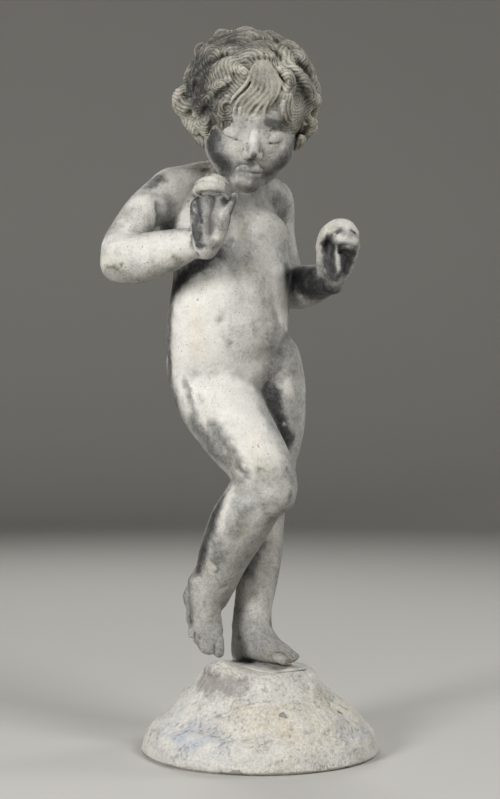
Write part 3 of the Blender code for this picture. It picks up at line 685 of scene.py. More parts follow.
# The curled fingers: points in the figure's millimetres, each with a radius. Those of the right
# hand fold over to the viewer's right, the lowest in front. Those of the left hand form a fist.
FINGERS = [
    [
        (-70, -113, 507, 5), (-65, -126, 510, 5.2), (-57, -133, 511.5, 5.2), (-49, -132, 510, 5),
        (-43, -126, 509, 4.2),
    ],
    [
        (-68, -109, 513, 5), (-62, -121, 517, 5), (-54, -127, 518, 5), (-47, -126, 516, 4.8),
        (-42, -120, 514, 4),
    ],
    [
        (-63, -104, 517, 5), (-56, -113, 522, 5), (-50, -117, 522.5, 4.8), (-44, -116, 520.5, 4.4),
        (-40, -111, 518, 4),
    ],
    [(-58, -98, 518, 5), (-51, -105, 522, 4.6), (-45, -107, 522, 4.2), (-40, -105, 519, 4)],
    [(64, -48, 456, 7), (69, -57, 470, 8), (79, -60, 478, 8), (90, -60, 477, 8), (97, -58, 470, 7)],
    [(78, -60, 464, 7), (88, -66, 466, 7.5), (96, -64, 462, 7), (99, -56, 457, 6)],
    [(68, -44, 466, 8), (80, -48, 477, 8.5), (91, -48, 475, 8.5), (97, -46, 464, 8)],
    [(84, -56, 456, 6), (93, -60, 455, 6), (97, -54, 450, 6), (95, -50, 444, 6)],
]
THUMBS = [
    [
        (-50, -118, 458, 8), (-43, -122, 474, 7.5), (-37, -123, 487, 5.6), (-31, -123, 498, 4.4),
        (-29, -121, 503, 3.8),
    ],
    [(82, -46, 424, 9), (81, -54, 438, 6.5), (80, -58, 450, 5), (80, -58, 458, 5)],
]
PALM_WEB = [
    (-52, -117, 466, 11, 9), (-46, -120, 480, 11, 8), (-42, -120, 490, 10, 7.5), (-43, -117, 500, 8, 6),
]
FIST = ((81, -41, 448), (20, 19, 28))
for row in FINGERS + THUMBS:
    loft(details, [(*spot, size, size) for *spot, size in row], FORWARD, sides=14)
loft(details, PALM_WEB, FORWARD, sides=14)
ball(details, *FIST)

# How far each toe lies to the inner side of the foot's middle, its radius, and its reach.
TOE_SPOTS = (13, 3.8, -3.8, -10.6, -16.8)
TOE_SIZES = (5.8, 4.6, 4.5, 4.4, 4.2)
FEET = ((FOOT_L, -1, (94, 93, 89, 84, 78)), (FOOT_R, 1, (85, 81, 76, 70, 63)))
for foot, inner, reaches in FEET:
    for x, size, reach in zip(TOE_SPOTS, TOE_SIZES, reaches):
        x = 3 + x * inner
        toe = ((18, 8, 1), (8, 9, 0.9), (2, 7, 0.8))
        rows = [(x, back - reach, z, size, size * share) for back, z, share in toe]
        foot.loft(details, rows, UPWARD, sides=14)


# ---- Child figure: hair ----
# A mop of curls, modelled in the clay as fat locks that were combed with a toothed tool, and
# cast with the head. The strands run 3 to 5 mm apart.

HAIR_CENTRE, HAIR_RADII = np.array((-1, 17, 20)), np.array((65.5, 70, 62.5))
HAIR_VOXEL, LOCK_FLATNESS, STRAND_FLATNESS = 1.8, 0.7, 0.9
# Where the front locks lie: side, height, heading, length, curl, breadth and lift.
FRONT_LOCKS = [
    (-14, 29, -120, 34, 125, 13, 4), (34, 62, -114, 53, 70, 17, 2), (14, 50, -109, 47, 62, 16, 4),
    (50, 78, -140, 60, 120, 18, 2), (-34, 52, -70, 60, 40, 17, 4), (-30, 40, -50, 46, 40, 15, 5),
    (-28, 22, -58, 38, 60, 14, 4), (-41, 6, -53, 50, 40, 15, 5), (-25, 8, -50, 40, 45, 12, 2),
    (-62, -6, -70, 46, 120, 22, 13), (-78, -14, 40, 40, -120, 20, 10), (-54, -22, -60, 44, 90, 18, 9),
    (-72, -32, 20, 40, -90, 18, 8), (-46, -16, -30, 42, 70, 15, 5), (-88, 24, -60, 40, 90, 14, 3),
    (-100, 34, -80, 40, 60, 18, 7), (-112, 52, -80, 44, 60, 18, 7), (-92, -4, -30, 44, 130, 22, 13),
    (-62, 44, -70, 50, 60, 18, 6), (-40, 66, -80, 50, 60, 18, 5), (10, 78, -110, 50, 60, 18, 5),
    (60, 66, 60, 50, -60, 18, 4), (-31, -2, -15, 28, 76, 11, 1), (20, 64, 52, 36, -48, 15, 4),
    (52, 53, 48, 50, -40, 17, 5), (19, 38, 55, 34, -98, 13, 4), (23, 22, 0, 42, 66, 15, 4),
    (44, 28, 50, 48, -81, 16, 4), (56, 12, 66, 42, -81, 16, 6), (58, -8, 45, 40, -61, 17, 9),
    (54, -24, 40, 38, -76, 15, 8), (72, -22, -20, 40, 90, 17, 7), (40, 40, 30, 44, 60, 15, 3),
]


def on_cap(spot):
    """The spot pulled on to the hair cap, and the cap's outward direction there."""
    spot = spot / np.linalg.norm(spot / HAIR_RADII)
    return spot, unit(spot / HAIR_RADII**2)


def cap_spot(side, height):
    """A place on the cap. Side 0 is above the nose and 90 the viewer's right; height is an angle."""
    a, b = radians(side), radians(height)
    return on_cap(np.array((sin(a) * cos(b), -cos(a) * cos(b), sin(b))))


def lock_spine(side, height, heading, length, curl, breadth, lift, steps=10):
    """Points along the middle of one lock, each with its outward direction and half breadth.

    The lock runs towards `heading`, where 0 is down and 90 the viewer's right, and turns by
    `curl` degrees on its way.
    """
    spot, normal = cap_spot(side, height)
    down = unit((0, 0, -1) + normal[2] * normal)
    run = down * cos(radians(heading)) + np.cross(normal, down) * sin(radians(heading))
    spine = []
    for k in range(steps + 1):
        share = k / steps
        half = breadth / 2 * sin(pi * (0.14 + 0.80 * share)) ** 0.6
        rise = lift * sin(pi * min(share + 0.25, 1)) + 1
        spine.append((spot + normal * rise + HAIR_CENTRE, normal, half))
        spot, normal = on_cap(spot + run * (length / steps))
        bend = radians(curl) / steps * (0.4 + 1.2 * k / steps)
        run = unit(run - run @ normal * normal)
        run = run * cos(bend) + np.cross(normal, run) * sin(bend)
    return spine


def comb(shape, spine, flatness):
    """Adds a lock or a strand of hair along its spine."""
    rows = [(*spot, half, max(half * flatness, 1.2)) for spot, _, half in spine]
    HEAD.loft(shape, rows, [normal for _, normal, _ in spine], steps=2, sides=14)


# Rings of plainer locks round the sides and the back: a height angle and how many there are.
LOCK_RINGS = [(84, 4), (62, 8), (42, 10), (22, 11), (2, 11), (-16, 9), (-33, 8)]
lock_rows = list(FRONT_LOCKS)
for ring_number, (lock_height, count) in enumerate(LOCK_RINGS):
    first = 78 if lock_height > -10 else 90
    for k in range(count):
        side = first + (360 - 2 * first) * (k + 0.25 * (ring_number % 2)) / (count - 1)
        turning = 130 if (k + ring_number) % 2 else -130
        heading = -25 if turning > 0 else 25
        lock_rows.append((side, lock_height, heading, 40, turning, 16, 3 + ring_number % 2))
mop = bmesh.new()
HEAD.ball(mop, HAIR_CENTRE, HAIR_RADII)
for row in lock_rows:
    comb(mop, lock_spine(*row), LOCK_FLATNESS)
hair = shown_mesh(mop, HAIR_VOXEL, 11)
details.from_mesh(hair)

# The strands of the forelock, each drawn through places on the cap (side, height).
FORELOCK_BREADTH, FORELOCK_LIFT = 4.2, 3.9
FORELOCK = [
    [(-5, 46), (-10, 34), (-12, 23), (-16, 16), (-21, 9), (-24, 3)],
    [(-3, 50), (-6, 35), (-7, 22), (-11, 14), (-16, 8), (-19, 0), (-18, -5)],
    [(-1, 54), (-2, 36), (-2, 24), (-5, 16), (-11, 9), (-14, 2), (-14, -4)],
    [(1, 56), (1, 37), (2, 24), (0, 16), (-5, 10), (-10, 3), (-11, -3), (-9, -8)],
    [(3, 55), (5, 36), (6, 24), (5, 16), (0, 10), (-5, 4), (-8, -3), (-5, -8)],
    [(6, 52), (8, 34), (10, 24), (9, 16), (4, 9), (0, 3), (-2, -3)],
    [(8, 48), (11, 32), (13, 23), (11, 15), (7, 8), (5, 1), (7, -4)],
    [(10, 44), (14, 31), (17, 23), (15, 16), (11, 9), (9, 4)],
    [(12, 40), (17, 29), (21, 21), (19, 15), (16, 9)],
]


def strand_spine(drawn_places):
    """Like lock_spine, for a strand drawn through given places."""
    drawn = smooth_through([cap_spot(*place)[0] for place in drawn_places], 4)
    spine = []
    for k, drawn_spot in enumerate(drawn):
        share = k / (len(drawn) - 1)
        spot, normal = on_cap(drawn_spot)
        half = FORELOCK_BREADTH / 2 * sin(pi * (0.15 + 0.75 * share)) ** 0.4
        rise = FORELOCK_LIFT * sin(pi * 0.86 * share) ** 0.7
        spine.append((spot + normal * rise + HAIR_CENTRE, normal, half))
    return spine


for drawn_places in FORELOCK:
    comb(details, strand_spine(drawn_places), STRAND_FLATNESS)

# Centres of the curls, round which the strands wind: side, height, and how far the curl reaches
# compared with its neighbours. The rings (height angle, count) add the sides and the back.
CURLS = [
    (-16, 30, 2.6), (-56, 32, 1.0), (-98, 20, 1.0), (-54, 9, 0.9), (-36, 16, 0.8), (-42, 2, 0.8),
    (-27, -2, 0.8), (-70, -22, 1.1), (-92, -13, 1.0), (-47, -17, 1.0), (45, 46, 1.0), (91, 38, 1.1),
    (108, 62, 1.0), (41, 10, 1.5), (80, 14, 1.0), (77, -9, 0.9), (72, -24, 0.9), (28, 26, 0.8),
    (-80, -40, 1.0),
]
CURL_RINGS = [(58, 4), (34, 6), (10, 7), (-14, 6), (-36, 5)]
for ring_number, (curl_height, count) in enumerate(CURL_RINGS):
    for k in range(count):
        side = 112 + 136 * (k + 0.35 * (ring_number % 2)) / (count - 1)
        CURLS.append((side, curl_height + 5 * (-1) ** k, 1.0 + 0.15 * (k % 2)))
STRAND_SPACING, STRAND_DEPTH, PARTING_DEPTH, CAP_RADIUS = 3.4, 0.95, 1.1, 66


def strand_relief(places):
    """How far each place lies below the strands' tops, and how near it is to a parting, 0 to 1."""
    local = HEAD.local(places) - HAIR_CENTRE
    ways = unit(local / HAIR_RADII)
    ways = ways + 0.045 * np.stack([bumps(local, 13, seed) for seed in (31, 32, 33)], axis=1)
    best, second, field = np.full(len(places), 9.0), np.full(len(places), 9.0), np.zeros(len(places))
    for number, (side, height, size) in enumerate(CURLS):
        spot, _ = cap_spot(side, height)
        way = spot / HAIR_RADII
        off = ways - way
        far = np.linalg.norm(off, axis=1)
        across = unit(np.cross(way, (0.3, 0.2, 1.0)))
        angle = np.arctan2(off @ np.cross(way, across), off @ across)
        wound = far * CAP_RADIUS + STRAND_SPACING * 2 * angle / (2 * pi) * (-1) ** number
        far = far / size
        closer = far < best
        second = np.where(closer, best, np.minimum(second, far))
        field = np.where(closer, wound, field)
        best = np.where(closer, far, best)
    strand = 1 - abs(np.sin(pi * field / STRAND_SPACING))
    return strand, 1 - ease(second - best, 0.0, 0.09)


# ---- Child figure: weathering and painted shadows ----
# Where rain reaches the lead it has turned white, and where it is sheltered or rubbed it is dark
# slate. Each stroke gives an amount, a half width and a run of points on the skin.

# How pale the skin is, from 0 for slate to 1 for white bloom, with a few painted shadows. Later strokes
# lie on earlier ones.
BLOOM_AND_SHADOWS = [
    (0.96, 46, [(-77, -54, 404), (-82, -51, 357), (-80, -43, 319), (-67, -54, 292)]),
    (0.86, 40, [(-51, -60, 410), (-54, -60, 367), (-52, -53, 330)]),
    (0.70, 36, [(-13, -51, 410), (-13, -56, 362), (-15, -44, 333)]),
    (0.70, 32, [(0, -22, 483), (6, -22, 462), (4, -36, 430)]),
    (0.62, 26, [(-24, -33, 493), (-29, -45, 459)]),
    # Painted shadow of the right hand on the chest.
    (0.44, 13, [(-40, -48, 462), (-37, -51, 448)]),
    (0.62, 12, [(-18, -20, 516), (-16, -24, 508)]),
    (0.60, 10, [(2, -39, 417), (3, -40, 400), (6, -44, 379)]),
    (0.78, 11, [(14, -22, 434), (17, -25, 401), (21, -23, 382)]),
    (0.38, 12, [(31, 0, 366), (24, -12, 350), (17, -20, 334), (8, -26, 314)]),
    (0.74, 13, [(22, -16, 436), (25, -11, 402), (25, -8, 376)]),
    (0.30, 13, [(-99, -27, 412), (-102, -30, 379), (-103, -22, 347), (-102, -12, 314), (-95, -18, 286)]),
    (0.48, 6, [(-84, -42, 312), (-77, -47, 290), (-70, -50, 278)]),
    (0.56, 4, [(-68, -54, 300), (-62, -57, 282), (-56, -60, 268)]),
    (0.5, 3.5, [(-36, -58, 352), (-38, -58, 346)]),
    (0.46, 4, [(-43, -61, 382), (-44, -61, 376)]),
    (0.7, 3, [(-62, -51, 324), (-58, -52, 322), (-53, -52, 320)]),
    (0.64, 3, [(-61, -53, 312), (-57, -54, 308)]),
    (0.6, 3, [(-76, -46, 315)] * 2),
    (0.50, 5, [(-10, -55, 373), (-8, -54, 366)]),
    (0.80, 20, [(-74, -46, 322), (-52, -52, 318), (-30, -52, 314), (-12, -44, 308)]),
    (0.90, 50, [(-38, -61, 296), (-19, -68, 266), (-3, -76, 232)]),
    (0.70, 30, [(0, -80, 214), (10, -82, 196)]),
    (0.34, 17, [(-74, -42, 266), (-58, -50, 244), (-39, -60, 226)]),
    (0.40, 8, [(-53, -60, 266), (-43, -66, 253), (-28, -70, 231)]),
    (0.56, 24, [(3, -81, 208), (24, -80, 197)]),
    (0.38, 4, [(-25, -70, 224), (-15, -75, 210)]),
    (0.40, 3.5, [(-3, -79, 220), (0, -80, 216)]),
    (0.30, 3, [(25, -70, 221), (27, -70, 214)]),
    (0.34, 4, [(31, -75, 194), (29, -78, 190)]),
    (0.56, 46, [(-8, -78, 178), (-34, -66, 140), (-54, -50, 100)]),
    (0.40, 14, [(-21, -76, 172), (-30, -70, 150)]), (0.36, 10, [(-46, -58, 136), (-52, -54, 112)]),
    (0.14, 15, [(-48, -54, 186), (-56, -52, 158), (-63, -46, 138), (-69, -38, 112)]),
    (0.80, 8, [(-34, -64, 194), (-40, -66, 176), (-44, -65, 158)]),
    (0.70, 6, [(-56, -49, 116), (-52, -52, 112)]),
    (0.58, 20, [(-66, -46, 76), (-66, -42, 56)]),
    (0.36, 8, [(-80, -30, 66), (-80, -28, 50)]),
    (0.52, 34, [(38, -8, 300), (30, -6, 262), (20, -4, 220)]),
    (0.08, 13, [(8, -22, 305), (13, -24, 287), (20, -18, 262), (28, -10, 246)]),
    (0.76, 10, [(28, -18, 310), (30, -17, 304)]),
    (0.70, 3, [(26, -17, 270), (24, -18, 264)]),
    (0.64, 36, [(6, -2, 150), (2, -4, 110), (-4, -4, 70)]),
    # Painted shadow of the crossed right leg on the left shin.
    (0.16, 18, [(-8, -6, 152), (-8, -4, 128), (-16, -2, 104)]),
    (0.44, 22, [(-14, -2, 40), (2, -16, 26), (22, -34, 16)]),
    # Dark slate patina under the right forearm, with the forearm's painted shadow on the trunk.
    (0.0, 14, [(-94, -32, 414), (-78, -50, 430), (-62, -54, 441), (-48, -52, 448)]),
    (0.72, 26, [(-114, -46, 518), (-108, -44, 528), (-98, -34, 540)]),
    (0.30, 12, [(-124, -46, 524), (-112, -40, 532)]),
    (0.80, 20, [(-88, -39, 534), (-88, -42, 519)]),
    (0.78, 16, [(-84, -38, 505), (-84, -41, 486)]),
    (0.82, 22, [(-131, -62, 500), (-120, -60, 496), (-140, -74, 474)]),
    (0.84, 34, [(-155, -88, 450), (-117, -108, 450), (-80, -118, 452)]),
    (0.50, 9, [(-160, -86, 423), (-128, -93, 417), (-102, -98, 423)]),
    (0.45, 6, [(-91, -114, 440), (-87, -114, 434)]),
    (0.42, 6, [(-112, -60, 500), (-112, -56, 482)]),
    (0.12, 9, [(-108, -50, 474), (-106, -28, 478)]),
    (0.30, 3, [(-163, -92, 433), (-154, -97, 431), (-147, -102, 434)]),
    (0.76, 20, [(-68, -128, 514), (-54, -134, 518), (-42, -128, 518)]),
    (0.08, 9, [(-71, -130, 502), (-69, -130, 480), (-66, -126, 452)]),
    (0.56, 3.5, [(-73, -129, 500), (-70, -130, 484)]), (0.5, 3, [(-66, -130, 478), (-66, -128, 462)]),
    (0.78, 5, [(-58, -131, 494), (-56, -130, 470)]),
    (0.78, 10, [(-42, -122, 484), (-48, -120, 462)]),
    (0.05, 6, [(-36, -124, 500), (-41, -122, 496)]),
    (0.16, 5, [(-30, -124, 500), (-35, -122, 482), (-42, -116, 464)]),
    (0.42, 26, [(-66, -14, 549), (-52, -18, 541), (-20, -12, 530)]),
    (0.34, 20, [(18, 20, 514), (26, 32, 500)]),
    (0.56, 12, [(33, 41, 505), (36, 46, 462)]),
    # The left forearm: dark slate patina, and the trunk's painted shadow on it.
    (0.0, 32, [(42, 0, 428), (56, -16, 416), (66, -28, 408)]),
    (0.74, 20, [(64, -56, 466), (80, -64, 482), (98, -62, 478)]),
    (0.60, 10, [(58, -46, 446), (61, -50, 460), (66, -56, 472)]),
    (0.08, 11, [(71, -60, 462), (71, -58, 444), (74, -54, 426)]),
    (0.12, 12, [(92, -60, 444), (88, -56, 430)]), (0.2, 4, [(80, -68, 471), (98, -66, 470)]),
    (0.8, 6, [(82, -72, 465), (98, -68, 462)]),
    (0.62, 3.5, [(80, -63, 456), (81, -60, 440), (82, -54, 428)]),
    (0.04, 7, [(84, -64, 452), (96, -62, 450)]), (0.6, 6, [(101, -56, 458), (100, -54, 446)]),
]
# The same on the face and throat, in the head's own frame, with painted shade under the chin.
FACE_BLOOM_AND_SHADE = [
    (0.62, 62, [(0, -46, 20), (0, -46, -50)]),
    (0.12, 20, [(-42, -28, -2), (-38, -34, -28), (-26, -40, -46)]),
    (0.2, 18, [(42, -32, -22), (34, -38, -36), (20, -44, -52)]),
    (0.16, 11, [(-38, -38, 12), (-32, -44, 8)]), (0.3, 9, [(12, -52, 10), (24, -48, 6)]),
    (0.74, 9, [(-4, -54, 12), (-2, -56, -8)]), (0.68, 12, [(-16, -48, -24)] * 2),
    (0.74, 8, [(32, -44, -14)] * 2), (0.3, 5, [(0, -62, -24), (0, -58, -32)]),
    (0.56, 8, [(-8, -52, -58)] * 2), (0.42, 9, [(-10, -54, -46), (10, -54, -46)]),
    # The last stroke here is painted shade under the chin.
    (0.3, 12, [(10, -48, -58), (4, -46, -64)]), (0.3, 12, [(-20, -30, -66), (14, -30, -66)]),
]
BLOOM_AND_SHADOWS += [(amount, width, HEAD.path(path)) for amount, width, path in FACE_BLOOM_AND_SHADE]
# Cream and ochre lime, and the strokes where the crust stands up in crumbs.
WARM = [
    (0.9, 12, [(-72, -54, 385), (-70, -54, 345)]), (0.6, 18, [(-10, -74, 250), (4, -78, 220)]),
    (0.8, 22, [(-66, -14, 549), (-52, -18, 541), (-20, -10, 530)]),
    (0.7, 16, [(-68, -128, 514), (-44, -130, 518)]), (0.6, 18, [(-163, -92, 440), (-150, -100, 430)]),
    (0.6, 12, [(-100, -112, 440), (-84, -116, 436)]), (0.9, 8, [(-26, -74, 158), (-20, -76, 150)]),
    (0.6, 14, [(-24, -30, 484), (-20, -40, 474)]), (0.7, 24, [(10, -30, 6), (30, -40, 6)]),
    (0.6, 12, [(62, -58, 458), (72, -70, 477)]), (0.7, 10, [(-56, -49, 116)] * 2),
]
CRUSTED = [
    (1.0, 26, [(-131, -62, 502), (-122, -60, 500), (-142, -74, 474)]),
    (0.7, 26, [(-155, -88, 450), (-122, -106, 440), (-90, -112, 440)]),
    (0.9, 15, [(-68, -128, 512), (-54, -134, 517), (-42, -128, 517)]),
    (0.9, 9, [(-56, -50, 117), (-52, -52, 112)]), (0.9, 13, [(-84, 2, 92), (-84, 0, 78)]),
    (0.5, 24, [(-19, -68, 262), (-5, -75, 240), (8, -80, 214)]),
    (0.8, 12, [(82, -68, 476), (98, -66, 468)]), (0.9, 40, [(-10, 20, 0), (30, -40, 0)]),
    (0.45, 46, [(-77, -54, 404), (-80, -43, 319), (-38, -61, 296)]),
]


def weathered(places, start, strokes):
    """An amount for each place: `start` where no stroke reaches, and ragged at each stroke's edge."""
    ragged = 0.2 * bumps(places, 9, 45) + 0.16 * bumps(places, 4, 46)
    amount = np.zeros(len(places)) + start
    for value, width, path in strokes:
        softness = 0.4 if width < 14 else 0.8
        near = closeness(places, path, width * 1.25)
        share = ease(near + ragged, 0.2, 0.2 + softness)
        inside = near > 0
        amount += (value - amount) * share * inside
    return amount


# ---- Child figure: foot pad and the finished casting ----
# The standing foot is cast with a thin slab, whose lower face is bedded into the mound. The
# whole figure is then melted into one skin and its last creases are cut.

DETAIL_VOXEL, FIGURE_TRIANGLES, EVEN_SHARE = 1.1, 196_000, 0.45
# No hair is below the first height, and the mesh stays fine above the second. A place is cut as
# hair, or coloured as hair, within these distances of the mop.
HAIR_FROM, FINE_FROM, CUT_WITHIN, COLOUR_WITHIN = 520, 545, 1.2, 2.2
PAD_BEDDING = 0.8
FOOT_PAD = [
    (-22, 36, -0.6, 22, 2.6), (-4, 10, -0.6, 30, 2.8), (18, -20, -0.6, 32, 2.8), (31, -37, -0.6, 23, 2.4),
]
loft(details, FOOT_PAD, UPWARD, sides=32)
casting = shown_mesh(details, DETAIL_VOXEL, 2)


def on_brow(places):
    """Whether each place is on the bare forehead, where the cap of hair shows no strands."""
    local = HEAD.local(places)
    return (abs(local[:, 0]) < 26) & (local[:, 1] < -36) & (local[:, 2] < 35)


hair_tree = BVHTree.FromPolygons([v.co for v in hair.vertices], [p.vertices for p in hair.polygons])


def near_hair(places, reach):
    """Whether each place lies within `reach` mm of the mop, and not on the brow."""
    found = [hair_tree.find_nearest(spot * MM, reach * MM)[0] for spot in places]
    return np.array([spot is not None for spot in found]) & ~on_brow(places)


# The toothed tool's strands are cut where the surface is hair, away from the forelock.
places, normals = read(casting)
high = places[:, 2] > HAIR_FROM
strand, parting = strand_relief(places[high])
cut = np.zeros(len(places))
cut[high] = STRAND_DEPTH * (strand - 0.3) + PARTING_DEPTH * parting
cut[high] *= near_hair(places[high], CUT_WITHIN)
write(casting, places - normals * cut[:, None])

# The lids' edges and folds, the wings of the nose and the nostrils, and then the mouth's line, the
# groove above it and the navel.
touches = on_head([
    ([(32, -42, -10), (26, -48, -13), (20, -50, -14), (14, -48, -12.5), (9.5, -46, -9)], 2.2, 1.6),
    ([(31, -43, -3), (26, -47.5, 0), (19, -49, 0.5), (12, -47.5, -2)], 2.0, 0.7),
    ([(10, -52, -22), (11.5, -52, -27), (9, -54, -32)], 2.4, 0.8), ([(3.4, -59, -31)] * 2, 2.4, 1.4),
])
mouth = [(-13, -48, -47), (-7, -53.5, -46.6), (0, -55, -46), (7, -53.5, -46.6), (13, -48, -47)]
touches += on_head([(mouth, 2.0, 1.5), ([(0, -56, -34), (0, -54, -39)], 2.6, 0.8)], sides=(1,))
touches.append(([(-36, -58, 348)] * 2, 5, 2.2))
# Creases of the palms and the small pits between fingers and thumb.
touches += [
    ([(-73, -124, 500), (-70, -129, 478), (-66, -127, 456)], 7, 1.2),
    ([(-62, -128, 500), (-56, -131, 480), (-55, -129, 460)], 4, 0.9),
    ([(-36, -121, 501), (-42, -120, 496)], 4.5, 4),
    ([(-72, -114, 508), (-60, -133, 506), (-46, -133, 504)], 3, 1.6),
    ([(70, -58, 462), (71, -57, 446), (74, -54, 430)], 6, 2.5),
    ([(80, -64, 472), (98, -64, 470)], 3.5, 1.8),
    ([(84, -62, 450), (94, -60, 450)], 4, 2.5),
    ([(90, -56, 440), (88, -54, 430)], 5, 1.5),
]
for foot, inner, reaches in FEET:
    for one, two, reach in zip(TOE_SPOTS, TOE_SPOTS[1:], reaches):
        x = 3 + (0.45 * one + 0.55 * two) * inner
        touches.append((foot.path([(x, 9 - reach, 13), (x, -reach, 7)]), 2.2, 1.4))
press(casting, touches)

# The sand mould, the metal's corrosion and the crust leave the skin slightly uneven.
places, normals = read(casting)
crusted = weathered(places, 0, CRUSTED)
uneven = 0.4 * bumps(places, 11, 50) + 0.2 * bumps(places, 4.5, 51) + 0.1 * bumps(places, 2.4, 52)
pitted = ease(bumps(places, 3.4, 53), 0.72, 0.9) * ease(bumps(places, 30, 54), -0.2, 0.3)
crumbs = crusted * (0.5 * bumps(places, 4, 55) + 0.4 * bumps(places, 7, 56) + 0.35)
write(casting, places + normals * (uneven - 0.5 * pitted + crumbs)[:, None])

thinned = put("thinned", casting)
# Thinned twice: evenly, and then on the broad skin alone, so that the hair stays fine.
broad_skin = thinned.vertex_groups.new(name="broad_skin")
broad_skin.add(np.flatnonzero(places[:, 2] < FINE_FROM).tolist(), 1.0, "REPLACE")
evenly = thinned.modifiers.new("evenly", "DECIMATE")
evenly.ratio = EVEN_SHARE
thin = thinned.modifiers.new("thin", "DECIMATE")
thin.ratio = FIGURE_TRIANGLES / (2 * len(casting.polygons) * EVEN_SHARE)
thin.vertex_group = broad_skin.name
figure_mesh = applied(thinned)
places, normals = read(figure_mesh)
places[:, 2] = np.maximum(places[:, 2], -PAD_BEDDING) + MOUND_HEIGHT
write(figure_mesh, keep_in_solid(places, "child_figure"))

# Concave places are darkened with dirt and painted shade.
fine_hollow = ease(hollows(figure_mesh, 3), 0.05, 0.5)
broad_hollow = ease(hollows(figure_mesh, 25), 0.2, 2.2)
edges = ease(-hollows(figure_mesh, 8), 0.1, 0.9)
places, normals = read(figure_mesh)
places[:, 2] -= MOUND_HEIGHT
in_hair = near_hair(places, COLOUR_WITHIN)
for drawn_places in FORELOCK:
    drawn = HEAD.path([spot for spot, _, _ in strand_spine(drawn_places)])
    in_hair = in_hair | (closeness(places, drawn[:-5:2], 3.2) > 0)
in_hair = in_hair & (places[:, 2] > HAIR_FROM)
pale = weathered(places, 0.48 + 0.1 * bumps(places, 40, 60) + 0.05 * bumps(places, 12, 61), BLOOM_AND_SHADOWS)
# Creases and hollows are darkened with dirt and painted shade: more on the head, the feet, the left hand
# and the right hand, and less elsewhere.
drawn_finely = (places[:, 2] > 535) | (places[:, 2] < 60) | (places[:, 0] > 56) | (places[:, 1] < -113)
fine_share = np.where(drawn_finely, 0.8, 0.3)
shaded = closeness(places, [(-46, -78, 672), (-58, -74, 656), (-66, -85, 630), (-54, -100, 608)], 36)
pale = np.where(in_hair, 0.4 + 0.2 * bumps(places, 24, 62) + 0.16 * edges - 0.3 * shaded, pale)
pad = 1 - ease(places[:, 2] + 1.5 * bumps(places, 8, 65), 2.5, 6)
pale += (0.74 + 0.2 * bumps(places, 9, 66) - pale) * pad
warm = weathered(places, 0.15 + 0.1 * bumps(places, 30, 63), WARM)
warm = np.where(in_hair, 0.85 + 0.25 * bumps(places, 18, 64), warm)
paint(
    figure_mesh, pale=pale, warm=warm, crusted=weathered(places, 0, CRUSTED),
    hollow=np.maximum(fine_share * fine_hollow, 0.2 * broad_hollow),
)

# Lead left out of doors: dark slate oxide where it is bare, grey where it has dulled, and a
# chalky white bloom of carbonate on top, all matt, with a faint metal sheen on the slate alone.
# The mottle is 4 to 14 mm, and the bloom's grain of under 1 mm is drawn at 1.8 mm so that it shows.
LEAD_TONES = (
    (0.0, "#27282a"), (0.2, "#494949"), (0.4, "#757572"), (0.6, "#9d9c97"), (0.8, "#bbb9b4"),
    (1.0, "#cfccc7"),
)
LIME_CREAM, PIT_DIRT_AND_SHADE = hex_colour("#b3a78c"), hex_colour("#262422")
lead, tree, where, seen = new_material(
    "weathered_cast_lead", 0.62, (("cloud", 14, 4), ("fleck", 4, 4), ("grain", 1.8, 3)),
    ("pale", "warm", "crusted", "hollow"),
)
tone = seen["pale"]
for name, strength in (("cloud", 0.17), ("fleck", 0.22), ("grain", 0.14)):
    feeds = {"Value": seen[name], "To Min": -strength, "To Max": strength}
    tone = add(tree, "Math", {0: tone, 1: add(tree, "MapRange", feeds, clamp=False)}, operation="ADD")
ramp = add(tree, "ValToRGB", {"Fac": tone})
steps = ramp.node.color_ramp.elements
for k, (level, code) in enumerate(LEAD_TONES):
    step = steps[k] if k < 2 else steps.new(level)
    step.position = level
    step.color = hex_colour(code)
feeds = {"Value": seen["fleck"], "From Min": 0.61, "From Max": 0.71, "To Max": 0.6}
holes = add(tree, "MapRange", feeds, interpolation_type="SMOOTHSTEP")
warmth = add(tree, "Math", {0: seen["warm"], 1: 0.62}, operation="MULTIPLY")
colour = ramp
# Pits take dirt, and creases and hollows take dirt and painted shade.
for amount, tint, blend in (
    (warmth, LIME_CREAM, "SOFT_LIGHT"), (holes, PIT_DIRT_AND_SHADE, "MIX"), (seen["hollow"], PIT_DIRT_AND_SHADE, "MIX"),
):
    feeds = {0: amount, 6: colour, 7: tint}
    colour = add(tree, "Mix", feeds, 2, data_type="RGBA", blend_type=blend)
relief = add(tree, "Math", {0: seen["fleck"], 1: seen["grain"]}, operation="ADD")
strength = add(tree, "MapRange", {"Value": seen["crusted"], "To Min": 0.5, "To Max": 1.0})
bump = add(tree, "Bump", {"Height": relief, "Strength": strength, "Distance": 1.0 * MM})
dull = add(tree, "MapRange", {"Value": tone, "To Min": 0.52, "To Max": 0.9})
feeds = {"Value": tone, "From Max": 0.45, "To Min": 0.45, "To Max": 0.0}
sheen = add(tree, "MapRange", feeds)
coat(figure_mesh, lead, {"Base Color": colour, "Roughness": dull, "Metallic": sheen, "Normal": bump})
figure = put("lead_child", figure_mesh)
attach(figure, "root")
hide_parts("child_figure")


# ---- Floor, lights and camera ----
# A plain pale floor that sweeps up into a round wall, under soft studio lamps, seen from the
# height of the statue's middle.

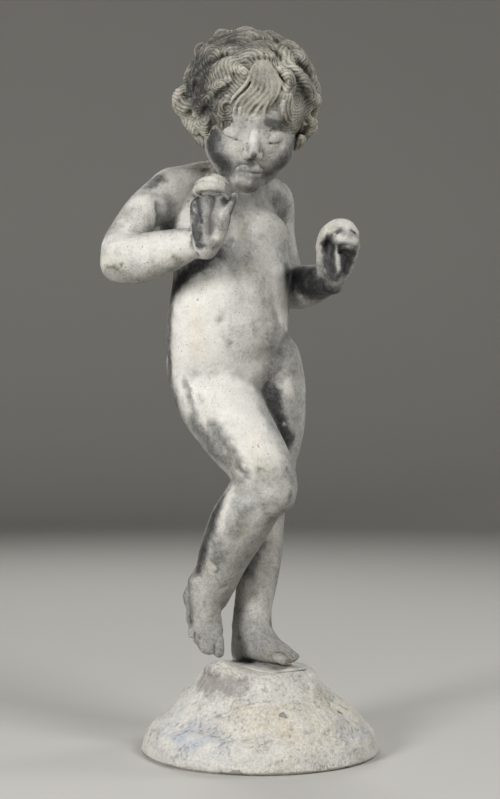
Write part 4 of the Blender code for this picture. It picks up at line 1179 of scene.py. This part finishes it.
FLOOR_RADIUS, SWEEP_RADIUS, WALL_HEIGHT, FLOOR_SIDES = 3.2, 1.0, 4.0, 96
profile = [(0.02, 0.0), (1.0, 0.0), (FLOOR_RADIUS, 0.0)]
for k in range(1, 13):
    a = radians(90 * k / 12)
    profile.append((FLOOR_RADIUS + SWEEP_RADIUS * sin(a), SWEEP_RADIUS * (1 - cos(a))))
profile.append((FLOOR_RADIUS + SWEEP_RADIUS, WALL_HEIGHT))
around = [2 * pi * k / FLOOR_SIDES for k in range(FLOOR_SIDES)]
spots = [(r * cos(a), r * sin(a), z) for r, z in profile for a in around]
faces = [tuple(range(FLOOR_SIDES))]
faces += [face[::-1] for face in ring_faces(len(profile), FLOOR_SIDES)]
floor_mesh = bpy.data.meshes.new("floor")
floor_mesh.from_pydata(spots, [], faces)
floor_mesh.shade_smooth()
floor_paint = bpy.data.materials.new("pale_floor")
floor_paint.use_nodes = True
shader = floor_paint.node_tree.nodes["Principled BSDF"]
shader.inputs["Base Color"].default_value = hex_colour("#aeaca7")
shader.inputs["Roughness"].default_value = 0.9
floor_mesh.materials.append(floor_paint)
floor = put("floor", floor_mesh)

MIDDLE = Vector((0, 0, 0.4))
# Each lamp: its bearing from the camera's side, its height angle, distance, size and power.
LAMPS = {
    "key": (-40, 14, 2.2, 0.6, 51),
    "upper": (44, 40, 2.4, 0.9, 36),
    "rim": (110, 20, 2.4, 0.7, 18),
    "back": (195, 35, 2.5, 1.2, 26),
}
for name, (bearing, height_angle, distance, size, power) in LAMPS.items():
    bearing, height_angle = radians(bearing), radians(height_angle)
    flat = cos(height_angle)
    way = Vector((sin(bearing) * flat, -cos(bearing) * flat, sin(height_angle)))
    lamp = bpy.data.lights.new(name, "AREA")
    lamp.shape = "DISK"
    lamp.size = size
    lamp.energy = power
    light = put(name, lamp)
    light.location = MIDDLE + way * distance
    light.rotation_euler = (-way).to_track_quat("-Z", "Y").to_euler()
    light.visible_camera = False
world = bpy.data.worlds.new("studio")
world.use_nodes = True
backdrop = world.node_tree.nodes["Background"]
backdrop.inputs["Color"].default_value = hex_colour("#8a8885")
backdrop.inputs["Strength"].default_value = 0.18
scene.world = world
scene.view_settings.view_transform = "Standard"

# The focal length and the frame's height, both in the photograph's pixels.
FOCAL, FRAME_HEIGHT, SENSOR = 1676, 799, 36
lens = bpy.data.cameras.new("camera")
lens.sensor_fit = "VERTICAL"
lens.sensor_height = SENSOR
lens.lens = SENSOR * FOCAL / FRAME_HEIGHT
camera = put("camera", lens)
camera.location = (-0.0132, -1.85, 0.387)
camera.rotation_euler = (radians(90), 0, 0)
scene.camera = camera
